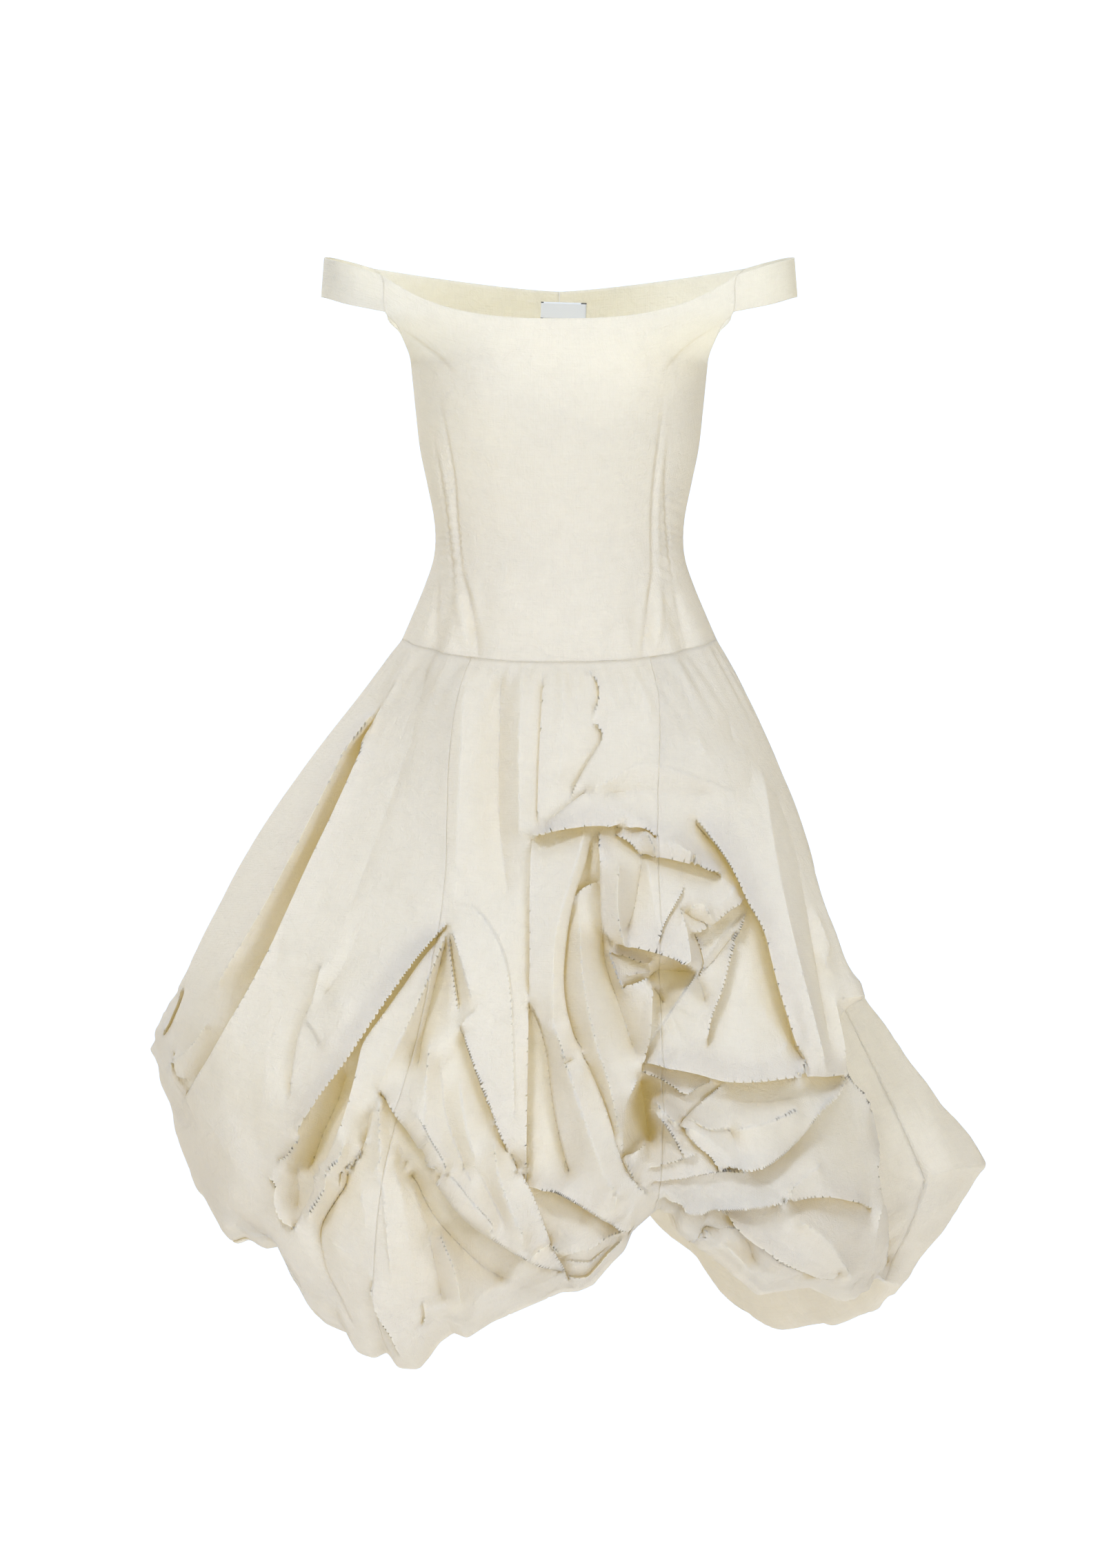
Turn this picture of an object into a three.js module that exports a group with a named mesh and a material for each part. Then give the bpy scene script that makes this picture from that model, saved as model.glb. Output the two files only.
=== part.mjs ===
// An off-shoulder dress in crisp cotton: a fitted bodice with two arm bands, a dropped basque seam, and a
// bubble skirt whose front is draped into a cloth rose and gathered at one tuck. Millimetres, +Z up,
// the wearer faces -Y. The origin is the middle of the waist, where the bodice grips the wearer.
import * as THREE from "three";

// Driving sizes of the cut
const clothThickness = 1.6;
const seamGap = 0.3;
const basqueHeight = -98; // side end of the basque seam
const basqueDip = 24; // how much lower the seam is at the centre front
const basqueBackDip = 20;
const frontNeckHeight = 223;
const frontNeckRise = 40; // from the centre front to the arm band
const backNeckHeight = 250;
const backNeckRise = 24;
const strapX = 177; // where the arm bands join the bodice
const underarmHeight = 172;
const bandBottomFront = 226; // lower edge of a band where it joins the front
const bandBottomBack = 236;
const bustX = 76;
const bustHeight = 146;
const bustRadius = 56;
const bustRise = 11;
const ivory = 0xece7da;

// Bodice rings: half width at the side edge, depth at the centre front and back, and how far the front
// and back edges stand from the side line, which is only above the underarm.
const bodiceRings = [
  { height: 285, halfWidth: 196, front: 92, back: 98, frontEdge: 64, backEdge: 74 },
  { height: 264, halfWidth: 177, front: 97, back: 100, frontEdge: 72, backEdge: 78 },
  { height: 226, halfWidth: 176, front: 107, back: 104, frontEdge: 79, backEdge: 84 },
  { height: 214, halfWidth: 163, front: 111, back: 105, frontEdge: 77, backEdge: 82 },
  { height: 200, halfWidth: 155, front: 115, back: 105, frontEdge: 66, backEdge: 70 },
  { height: 184, halfWidth: 149, front: 118, back: 105, frontEdge: 42, backEdge: 46 },
  { height: 172, halfWidth: 147.5, front: 120, back: 105, frontEdge: 0, backEdge: 0 },
  { height: 128, halfWidth: 143, front: 120, back: 102, frontEdge: 0, backEdge: 0 },
  { height: 93, halfWidth: 139, front: 112, back: 98, frontEdge: 0, backEdge: 0 },
  { height: 59, halfWidth: 132, front: 103, back: 94, frontEdge: 0, backEdge: 0 },
  { height: 24, halfWidth: 125, front: 97, back: 92, frontEdge: 0, backEdge: 0 },
  { height: 0, halfWidth: 123.5, front: 95, back: 91, frontEdge: 0, backEdge: 0 },
  { height: -20, halfWidth: 126, front: 97, back: 94, frontEdge: 0, backEdge: 0 },
  { height: -45, halfWidth: 134.5, front: 103, back: 102, frontEdge: 0, backEdge: 0 },
  { height: -75, halfWidth: 147, front: 111, back: 112, frontEdge: 0, backEdge: 0 },
  { height: -98, halfWidth: 157, front: 117, back: 120, frontEdge: 0, backEdge: 0 },
  { height: -125, halfWidth: 169, front: 124, back: 129, frontEdge: 0, backEdge: 0 },
];

// An arm band between its front and back joins, as it goes round the arm
const bandStations = [
  { x: 206, y: -59, top: 273, bottom: 234 },
  { x: 227, y: -35, top: 280, bottom: 241 },
  { x: 235, y: 2, top: 284, bottom: 245 },
  { x: 228, y: 40, top: 286, bottom: 248 },
  { x: 206, y: 66, top: 282, bottom: 244 },
];
const bandFlare = 3; // how much wider the lower edge of a band is
const labelWidth = 43;
const labelHeight = 17;
const labelCentreX = 4;
const labelCentreHeight = 231;
const labelTilt = 2;
const labelThickness = 1;

// Skirt meridians: the reach from the axis at set heights, then the fullest point of the bubble and the
// lowest point of its hem. Azimuth 0 is the centre front, 90 is the viewer's right.
const hipHeight = -180;
const thighHeight = -300;
const kneeHeight = -430;
const skirtMeridians = [
  { azimuth: -180, hip: 178, thigh: 240, knee: 296, belly: 336, bellyHeight: -545, hem: 300, hemHeight: -645 },
  { azimuth: -150, hip: 182, thigh: 248, knee: 310, belly: 352, bellyHeight: -545, hem: 314, hemHeight: -642 },
  { azimuth: -125, hip: 196, thigh: 268, knee: 336, belly: 384, bellyHeight: -540, hem: 342, hemHeight: -638 },
  { azimuth: -108, hip: 207, thigh: 286, knee: 356, belly: 398, bellyHeight: -528, hem: 360, hemHeight: -610 },
  { azimuth: -90, hip: 214, thigh: 299, knee: 371, belly: 402, bellyHeight: -505, hem: 372, hemHeight: -568 },
  { azimuth: -75, hip: 206, thigh: 292, knee: 362, belly: 388, bellyHeight: -560, hem: 352, hemHeight: -640 },
  { azimuth: -60, hip: 194, thigh: 272, knee: 342, belly: 376, bellyHeight: -610, hem: 335, hemHeight: -705 },
  { azimuth: -45, hip: 184, thigh: 254, knee: 322, belly: 364, bellyHeight: -650, hem: 318, hemHeight: -765 },
  { azimuth: -30, hip: 176, thigh: 240, knee: 304, belly: 354, bellyHeight: -690, hem: 305, hemHeight: -818 },
  { azimuth: -15, hip: 172, thigh: 233, knee: 294, belly: 342, bellyHeight: -670, hem: 298, hemHeight: -795 },
  { azimuth: 0, hip: 172, thigh: 233, knee: 290, belly: 332, bellyHeight: -635, hem: 292, hemHeight: -748 },
  { azimuth: 11, hip: 173, thigh: 236, knee: 292, belly: 330, bellyHeight: -600, hem: 292, hemHeight: -706 },
  { azimuth: 18, hip: 175, thigh: 239, knee: 294, belly: 328, bellyHeight: -585, hem: 296, hemHeight: -674 },
  { azimuth: 26, hip: 178, thigh: 243, knee: 298, belly: 334, bellyHeight: -600, hem: 300, hemHeight: -686 },
  { azimuth: 36, hip: 183, thigh: 250, knee: 303, belly: 342, bellyHeight: -630, hem: 306, hemHeight: -736 },
  { azimuth: 50, hip: 190, thigh: 256, knee: 306, belly: 348, bellyHeight: -655, hem: 312, hemHeight: -758 },
  { azimuth: 65, hip: 197, thigh: 259, knee: 300, belly: 345, bellyHeight: -665, hem: 316, hemHeight: -750 },
  { azimuth: 78, hip: 199, thigh: 253, knee: 280, belly: 338, bellyHeight: -652, hem: 318, hemHeight: -738 },
  { azimuth: 88, hip: 198, thigh: 248, knee: 272, belly: 392, bellyHeight: -630, hem: 346, hemHeight: -742 },
  { azimuth: 100, hip: 196, thigh: 247, knee: 274, belly: 430, bellyHeight: -626, hem: 366, hemHeight: -758 },
  { azimuth: 114, hip: 192, thigh: 248, knee: 290, belly: 416, bellyHeight: -630, hem: 362, hemHeight: -780 },
  { azimuth: 128, hip: 188, thigh: 247, knee: 304, belly: 390, bellyHeight: -628, hem: 342, hemHeight: -786 },
  { azimuth: 142, hip: 184, thigh: 245, knee: 306, belly: 368, bellyHeight: -612, hem: 325, hemHeight: -772 },
  { azimuth: 156, hip: 180, thigh: 242, knee: 300, belly: 350, bellyHeight: -585, hem: 310, hemHeight: -712 },
  { azimuth: 168, hip: 178, thigh: 240, knee: 297, belly: 340, bellyHeight: -560, hem: 304, hemHeight: -665 },
  { azimuth: 180, hip: 178, thigh: 240, knee: 296, belly: 336, bellyHeight: -545, hem: 300, hemHeight: -645 },
];
const returnInset = 62; // the bubble turns under and ends this much further in
const returnRise = 66; // and this much higher than the hem
const hemDrop = 1; // where on a meridian the hem lies
const returnDrop = 1.22; // where it ends
const meridianKnots = [0, 0.1, 0.26, 0.44, 0.74, hemDrop, returnDrop];

// Where the skirt panels meet, as azimuths down the skirt
const leftSeam = [
  { drop: 0, azimuth: -41 },
  { drop: 0.35, azimuth: -25 },
  { drop: 0.7, azimuth: -30 },
  { drop: 1.22, azimuth: -31 },
];
const rightSeam = [
  { drop: 0, azimuth: 42 },
  { drop: 0.2, azimuth: 26 },
  { drop: 0.5, azimuth: 19 },
  { drop: 1.22, azimuth: 17.5 },
];
const rightSideAzimuth = 84;
const backSeamAzimuth = 180;
const leftSideAzimuth = -96;

// The folds. A route is walked on the outside of the cloth, in X and Z as seen from the front (or, with
// back set, through to the back). high is how far the cloth stands out on the left hand of the route and
// low on its right hand; negative values sink in. The reaches are how far each side takes to level out.
const folds = [
  // upper skirt
  { name: "left panel edge", route: [[-150, -108], [-180, -165], [-215, -232], [-252, -303], [-292, -388], [-322, -442], [-352, -502], [-376, -556]], high: 10, low: -10, reachHigh: 34, reachLow: 30 },
  { name: "left seam swell", route: [[-78, -125], [-86, -220], [-98, -352]], high: 7, low: 7, reachHigh: 26, reachLow: 26 },
  { name: "centre hollow", route: [[-66, -132], [-62, -250], [-56, -330], [-48, -410]], high: -9, low: -9, reachHigh: 24, reachLow: 20 },
  { name: "centre crease", route: [[-16, -128], [-20, -200], [-22, -262], [-27, -294]], high: 5, low: -4, reachHigh: 22, reachLow: 20 },
  { name: "upper zigzag", route: [[12, -126], [36, -134], [40, -156], [31, -180]], high: 8, low: -3, reachHigh: 20, reachLow: 20 },
  { name: "lower zigzag", route: [[33, -180], [45, -194], [28, -220], [10, -256]], high: 9, low: -5, reachHigh: 20, reachLow: 20 },
  // rose
  { name: "rose crown", route: [[-24, -290], [10, -262], [42, -240], [86, -221], [132, -228], [196, -240]], high: 16, low: 22, reachHigh: 26, reachLow: 34 },
  { name: "crown underfold", route: [[38, -246], [80, -251], [122, -254], [172, -254]], high: 6, low: -15, reachHigh: 20, reachLow: 22 },
  { name: "top petal lip", route: [[-26, -295], [0, -289], [32, -286], [64, -284], [96, -290]], high: 16, low: -22, reachHigh: 24, reachLow: 22 },
  { name: "second petal lip", route: [[56, -289], [86, -313], [130, -325], [178, -340]], high: 12, low: -24, reachHigh: 22, reachLow: 24 },
  { name: "cape edge", route: [[138, -280], [160, -312], [180, -345], [200, -388], [216, -432], [229, -482], [246, -516]], high: 13, low: -27, reachHigh: 44, reachLow: 34 },
  { name: "cape ridge", route: [[204, -230], [212, -300], [228, -380], [250, -462], [266, -524]], high: 12, low: 8, reachHigh: 34, reachLow: 30 },
  { name: "pocket petal side", route: [[42, -293], [40, -340], [43, -382], [56, -402]], high: 20, low: -12, reachHigh: 26, reachLow: 20 },
  { name: "pocket petal hem", route: [[56, -402], [82, -408], [110, -418], [134, -429]], high: 22, low: -30, reachHigh: 22, reachLow: 26 },
  { name: "bowl petal hem", route: [[121, -366], [132, -386], [152, -383], [170, -370], [186, -358]], high: 9, low: -16, reachHigh: 20, reachLow: 22 },
  { name: "heart hollow", route: [[94, -440], [110, -432], [128, -428]], high: -30, low: -30, reachHigh: 20, reachLow: 20 },
  { name: "cape ray", route: [[150, -502], [160, -460], [178, -412], [192, -378]], high: 8, low: -14, reachHigh: 22, reachLow: 28 },
  { name: "rose stem", route: [[80, -534], [90, -476], [94, -440]], high: 14, low: -14, reachHigh: 24, reachLow: 20 },
  { name: "tube left side", route: [[24, -302], [8, -346], [-2, -392], [-4, -432], [0, -482]], high: 8, low: -8, reachHigh: 20, reachLow: 20 },
  { name: "tube valley", route: [[9, -430], [16, -466], [36, -500], [54, -545]], high: -10, low: 5, reachHigh: 20, reachLow: 20 },
  // right lower shelves
  { name: "first shelf", route: [[82, -522], [120, -531], [162, -540], [206, -541], [250, -538], [290, -534]], high: 18, low: -30, reachHigh: 30, reachLow: 26 },
  { name: "slit", route: [[82, -540], [86, -570], [90, -602]], high: -34, low: -34, reachHigh: 20, reachLow: 20 },
  { name: "wedge crease", route: [[98, -566], [130, -598], [160, -628]], high: 9, low: -9, reachHigh: 20, reachLow: 20 },
  { name: "second shelf", route: [[160, -629], [194, -631], [226, -610], [252, -574], [276, -550], [291, -538]], high: 20, low: -27, reachHigh: 34, reachLow: 28 },
  { name: "third shelf", route: [[96, -664], [116, -672], [165, -673], [212, -663], [266, -657], [314, -662]], high: 16, low: -22, reachHigh: 26, reachLow: 26 },
  { name: "right puff edge", route: [[165, -674], [186, -701], [220, -728], [252, -748], [286, -760]], high: 15, low: -20, reachHigh: 34, reachLow: 26 },
  { name: "side slit", route: [[332, -748], [333, -690], [320, -628], [311, -574], [293, -536], [284, -476], [277, -436]], high: 10, low: -26, reachHigh: 26, reachLow: 34 },
  // centre and left drapes
  { name: "curtain edge", route: [[-32, -642], [-33, -560], [-31, -462], [-33, -400], [-31, -340], [-28, -298]], high: 9, low: -17, reachHigh: 20, reachLow: 24 },
  { name: "curtain pocket", route: [[-27, -462], [-14, -492], [-4, -540], [6, -590], [13, -634]], high: 9, low: -14, reachHigh: 26, reachLow: 20 },
  { name: "arc of the tuck", route: [[-100, -362], [-76, -372], [-60, -402], [-50, -452], [-45, -520], [-42, -600]], high: 13, low: 6, reachHigh: 20, reachLow: 26 },
  { name: "tuck main fold", route: [[-262, -590], [-236, -555], [-214, -524], [-180, -470], [-150, -430], [-114, -387]], high: 16, low: -22, reachHigh: 40, reachLow: 20 },
  { name: "tuck roll", route: [[-118, -396], [-150, -445], [-180, -492], [-201, -534], [-212, -572], [-228, -612], [-252, -654], [-266, -682]], high: 12, low: 12, reachHigh: 20, reachLow: 20 },
  { name: "tuck crease", route: [[-115, -396], [-138, -452], [-160, -500], [-182, -546]], high: -9, low: -9, reachHigh: 20, reachLow: 20 },
  { name: "tuck right fold", route: [[-110, -391], [-104, -430], [-99, -475], [-92, -510], [-75, -560], [-53, -611]], high: 13, low: -16, reachHigh: 20, reachLow: 26 },
  { name: "left long fold", route: [[-297, -700], [-292, -652], [-281, -602], [-270, -556], [-256, -492], [-238, -442]], high: 10, low: -9, reachHigh: 34, reachLow: 20 },
  { name: "puff overhang", route: [[-180, -556], [-160, -586], [-140, -616], [-122, -646], [-95, -680], [-60, -706], [-30, -729], [2, -744]], high: 17, low: -21, reachHigh: 36, reachLow: 32 },
  { name: "puff ridge", route: [[-178, -600], [-176, -650], [-181, -702], [-187, -742], [-172, -792], [-156, -822]], high: 10, low: 6, reachHigh: 26, reachLow: 20 },
  { name: "puff hollow", route: [[-148, -610], [-138, -655], [-124, -705], [-116, -765]], high: -8, low: -8, reachHigh: 22, reachLow: 22 },
  { name: "centre shelf", route: [[-30, -646], [0, -655], [40, -672], [72, -692]], high: 16, low: -24, reachHigh: 30, reachLow: 26 },
  { name: "side puff crease", route: [[-402, -530], [-388, -533], [-372, -537]], high: -16, low: -16, reachHigh: 20, reachLow: 20 },
  // hidden back
  { name: "back centre fold", back: true, route: [[8, -132], [4, -300], [-10, -520], [-22, -700]], high: -9, low: -9, reachHigh: 34, reachLow: 34 },
  { name: "back left swell", back: true, route: [[-80, -150], [-110, -330], [-150, -520], [-190, -650]], high: 12, low: 12, reachHigh: 40, reachLow: 40 },
  { name: "back right swell", back: true, route: [[78, -150], [108, -330], [150, -560], [172, -700]], high: 12, low: 12, reachHigh: 40, reachLow: 40 },
  { name: "back tuck left", back: true, route: [[-262, -640], [-205, -560], [-150, -470], [-122, -410]], high: -16, low: 14, reachHigh: 22, reachLow: 40 },
  { name: "back tuck left lower", back: true, route: [[-120, -412], [-150, -520], [-142, -640], [-120, -730]], high: -12, low: 10, reachHigh: 26, reachLow: 30 },
  { name: "back tuck right", back: true, route: [[262, -650], [220, -560], [170, -480], [118, -430]], high: 14, low: -16, reachHigh: 40, reachLow: 24 },
  { name: "back overhang", back: true, route: [[150, -640], [96, -690], [30, -706], [-40, -690]], high: -18, low: 14, reachHigh: 26, reachLow: 34 },
  { name: "flare fold", back: true, route: [[262, -440], [300, -540], [330, -640], [336, -720]], high: -8, low: -8, reachHigh: 34, reachLow: 34 },
];
const foldEdge = 24; // width of the turn from the high side to the low side
const hemPuckers = 46; // small gathers where the bubble is caught in at the hem
const puckerDepth = 3.5;

const degrees = Math.PI / 180;
const lerp = (a, b, t) => a + (b - a) * t;
const evenly = (from, to, count) => Array.from({ length: count + 1 }, (_, i) => lerp(from, to, i / count));
const smooth = (edge0, edge1, x) => {
  const t = Math.min(1, Math.max(0, (x - edge0) / (edge1 - edge0)));
  return t * t * (3 - 2 * t);
};

// A value from a table by one of its columns, smooth through the rows (cubic Hermite).
function readTable(rows, key, column, at) {
  const rising = rows[1][key] > rows[0][key];
  let i = 0;
  while (i < rows.length - 2 && (rising ? at > rows[i + 1][key] : at < rows[i + 1][key])) i += 1;
  const x = (k) => rows[k][key];
  const y = (k) => rows[k][column];
  const slope = (k) => {
    const a = Math.max(0, k - 1);
    const b = Math.min(rows.length - 1, k + 1);
    return (y(b) - y(a)) / (x(b) - x(a));
  };
  const span = x(i + 1) - x(i);
  const t = Math.min(1, Math.max(0, (at - x(i)) / span));
  return hermite(y(i), y(i + 1), slope(i) * span, slope(i + 1) * span, t);
}

function hermite(a, b, slopeA, slopeB, t) {
  const t2 = t * t;
  const t3 = t2 * t;
  return (2 * t3 - 3 * t2 + 1) * a + (t3 - 2 * t2 + t) * slopeA + (3 * t2 - 2 * t3) * b + (t3 - t2) * slopeB;
}

// The bodice's surface at a share of the way round a side (0 centre, 1 side edge), at a height.
function bodiceSurface(across, height, isBack) {
  const ring = (column) => readTable(bodiceRings, "height", column, height);
  const depth = ring(isBack ? "back" : "front");
  const edgeDepth = Math.max(0, ring(isBack ? "backEdge" : "frontEdge"));
  const edgeAngle = Math.acos(Math.min(1, edgeDepth / depth));
  const angle = across * edgeAngle;
  const x = (ring("halfWidth") * Math.sin(angle)) / Math.sin(edgeAngle);
  const side = isBack ? 1 : -1;
  const point = new THREE.Vector3(x, side * depth * Math.cos(angle), height);
  if (!isBack) {
    const bust = Math.hypot(Math.abs(x) - bustX, height - bustHeight) / bustRadius;
    point.y -= bustRise * Math.exp(-bust * bust);
  }
  return point;
}

const neckHeight = (across, isBack) =>
  isBack
    ? backNeckHeight + backNeckRise * Math.abs(across) ** 1.3
    : frontNeckHeight + frontNeckRise * Math.abs(across) ** 2.6;
const bandBottom = (isBack) => (isBack ? bandBottomBack : bandBottomFront);
const basqueLine = (sine, isBack) =>
  basqueHeight - (isBack ? basqueBackDip : basqueDip) * (1 - Math.abs(sine) ** 2.6);

// Soft flutes that open below the waist darts, as outward reach at an angle and height.
const flutes = [
  { angle: 32, top: -26, width: 5, depth: -3.5 },
  { angle: 41, top: -30, width: 6, depth: 4 },
  { angle: 51, top: -28, width: 5, depth: -3 },
  { angle: 62, top: -34, width: 7, depth: 3 },
];
function fluteReach(angle, height) {
  let reach = 0;
  for (const flute of flutes) {
    const offset = (Math.abs(angle) - flute.angle) / flute.width;
    reach += flute.depth * Math.exp(-offset * offset) * smooth(flute.top, basqueHeight, height);
  }
  return reach;
}

// A point of a bodice panel: across is 0 at the centre and 1 or -1 at the side, down from 0 to 1.
function bodicePoint(across, down, isBack) {
  const top = neckHeight(across, isBack);
  const bottom = basqueLine(Math.sin(across * 90 * degrees), isBack);
  const height = lerp(top, bottom, down);
  const point = bodiceSurface(across, height, isBack);
  const out = new THREE.Vector3(point.x, point.y, 0).normalize();
  return point.addScaledVector(out, isBack ? 0 : fluteReach(across * 90, height));
}

// The rows of a bodice panel as shares of its side edge, with one at the band's lower edge and one at the
// underarm.
function bodiceRows(isBack) {
  const top = neckHeight(1, isBack);
  const band = bandBottom(isBack);
  const heights = [top, (top + band) / 2, band, 204, 187, ...evenly(underarmHeight, basqueHeight, 13)];
  return heights.map((height) => (top - height) / (top - basqueHeight));
}

// Where the bodice ends at the basque seam, in the direction of an azimuth.
function basquePoint(azimuth) {
  const turn = azimuth * degrees;
  const isBack = Math.cos(turn) < 0;
  const target = Math.atan2(Math.sin(turn), Math.abs(Math.cos(turn)));
  let low = -1;
  let high = 1;
  for (let round = 0; round < 24; round += 1) {
    const middle = (low + high) / 2;
    const point = bodicePoint(middle, 1, isBack);
    if (Math.atan2(point.x, Math.abs(point.y)) < target) low = middle;
    else high = middle;
  }
  return bodicePoint((low + high) / 2, 1, isBack);
}

// The base skirt: azimuth in degrees, drop from 0 at the basque seam to 1 at the hem, then the return.
function wrapAzimuth(azimuth) {
  return azimuth - 360 * Math.floor((azimuth + 180) / 360);
}

function periodic(column, azimuth) {
  const rows = skirtMeridians;
  const last = rows.length - 1;
  const at = wrapAzimuth(azimuth);
  let i = 0;
  while (i < last - 1 && at > rows[i + 1].azimuth) i += 1;
  const row = (k) => rows[(k + last) % last];
  const place = (k) => row(k).azimuth + 360 * Math.floor(k / last);
  const slope = (k) => (row(k + 1)[column] - row(k - 1)[column]) / (place(k + 1) - place(k - 1));
  const span = place(i + 1) - place(i);
  return hermite(row(i)[column], row(i + 1)[column], slope(i) * span, slope(i + 1) * span, (at - place(i)) / span);
}

function meridian(azimuth) {
  const value = (column) => periodic(column, azimuth);
  const seam = basquePoint(azimuth);
  return [
    { reach: Math.hypot(seam.x, seam.y), height: seam.z },
    { reach: value("hip"), height: hipHeight },
    { reach: value("thigh"), height: thighHeight },
    { reach: value("knee"), height: kneeHeight },
    { reach: value("belly"), height: value("bellyHeight") },
    { reach: value("hem"), height: value("hemHeight") },
    { reach: value("hem") - returnInset, height: value("hemHeight") + returnRise },
  ].map((row, i) => ({ ...row, drop: meridianKnots[i] }));
}

const meridianCache = new Map();
function meridianAt(azimuth) {
  const key = Math.round(azimuth * 1000);
  if (!meridianCache.has(key)) meridianCache.set(key, meridian(azimuth));
  return meridianCache.get(key);
}

function skirtBase(azimuth, drop) {
  const rows = meridianAt(azimuth);
  const reach = readTable(rows, "drop", "reach", drop);
  const height = readTable(rows, "drop", "height", drop);
  return new THREE.Vector3(reach * Math.sin(azimuth * degrees), -reach * Math.cos(azimuth * degrees), height);
}

function normalOf(surface, a, b, stepA, stepB) {
  const alongA = surface(a + stepA, b).sub(surface(a - stepA, b));
  const alongB = surface(a, b + stepB).sub(surface(a, b - stepB));
  return alongB.cross(alongA).normalize();
}

// The place on the base skirt that is seen from the front (or back) at x and z.
const latticeStep = 3;
const latticeDrop = 0.03;
function findOnSkirt(x, z, isBack) {
  let best = null;
  for (let turn = -102; turn <= 102; turn += latticeStep) {
    const azimuth = isBack ? 180 - turn : turn;
    for (let drop = 0; drop <= 1.02; drop += latticeDrop) {
      const p = skirtBase(azimuth, drop);
      const off = Math.hypot(p.x - x, p.z - z);
      if (!best || off < best.off) best = { azimuth, drop, off };
    }
  }
  for (let round = 0; round < 6; round += 1) {
    const p = skirtBase(best.azimuth, best.drop);
    const pa = skirtBase(best.azimuth + 0.2, best.drop).sub(p).divideScalar(0.2);
    const pd = skirtBase(best.azimuth, best.drop + 0.002).sub(p).divideScalar(0.002);
    const determinant = pa.x * pd.z - pd.x * pa.z;
    if (Math.abs(determinant) < 60) break;
    const dx = x - p.x;
    const dz = z - p.z;
    best.azimuth += Math.max(-3, Math.min(3, (dx * pd.z - dz * pd.x) / determinant));
    best.drop += Math.max(-0.03, Math.min(0.03, (pa.x * dz - pa.z * dx) / determinant));
    best.drop = Math.min(1.05, Math.max(0, best.drop));
  }
  return skirtBase(best.azimuth, best.drop);
}

const routeSteps = 5; // points of a smooth route for each span of the table
const routes = folds.map((fold) => {
  const curve = new THREE.CatmullRomCurve3(fold.route.map(([x, z]) => new THREE.Vector3(x, 0, z)));
  const flat = curve.getPoints((fold.route.length - 1) * routeSteps);
  return flat.map((p) => findOnSkirt(p.x, p.z, fold.back));
});

// How one fold moves a point of the base skirt.
const segment = new THREE.Vector3();
const offset = new THREE.Vector3();
function foldRise(fold, route, point, normal) {
  let nearest = null;
  for (let i = 0; i < route.length - 1; i += 1) {
    segment.copy(route[i + 1]).sub(route[i]);
    offset.copy(point).sub(route[i]);
    const share = offset.dot(segment) / segment.lengthSq();
    const t = Math.min(1, Math.max(0, share));
    offset.addScaledVector(segment, -t);
    const distance = offset.length();
    if (!nearest || distance < nearest.distance) {
      const length = segment.length();
      const beyond = Math.abs(share - t) * length;
      const side = offset.dot(segment.clone().cross(normal)) < 0 ? -1 : 1;
      nearest = { distance, side, beyond, along: (i + t) / (route.length - 1) };
    }
  }
  const widest = Math.max(fold.reachHigh, fold.reachLow);
  if (nearest.distance > 4 * widest) return 0;
  const open = smooth(0, 0.22, nearest.along) * smooth(0, 0.22, 1 - nearest.along);
  const strength = 0.35 + 0.65 * open;
  const spread = 0.5 + 0.5 * open;
  const signed = nearest.side * Math.sqrt(Math.max(0, nearest.distance ** 2 - nearest.beyond ** 2));
  const high = fold.high * Math.exp(-Math.max(0, -signed) / (fold.reachHigh * spread));
  const low = fold.low * Math.exp(-Math.max(0, signed) / (fold.reachLow * spread));
  const level = lerp(high, low, smooth(-foldEdge / 2, foldEdge / 2, signed));
  return level * strength * Math.exp(-((nearest.beyond / (0.45 * widest)) ** 2));
}

const normalStepAzimuth = 2;
const normalStepDrop = 0.02;
function skirtPoint(azimuth, drop) {
  const point = skirtBase(azimuth, drop);
  const normal = normalOf(skirtBase, azimuth, drop, normalStepAzimuth, normalStepDrop);
  let rise = 0;
  folds.forEach((fold, i) => {
    rise += foldRise(fold, routes[i], point, normal);
  });
  const fade = smooth(0, 0.08, drop) * (1 - smooth(hemDrop, returnDrop, drop));
  const pucker = puckerDepth * Math.sin(azimuth * degrees * hemPuckers) * smooth(0.86, hemDrop, drop);
  return point.addScaledVector(normal, rise * fade + pucker);
}

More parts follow.
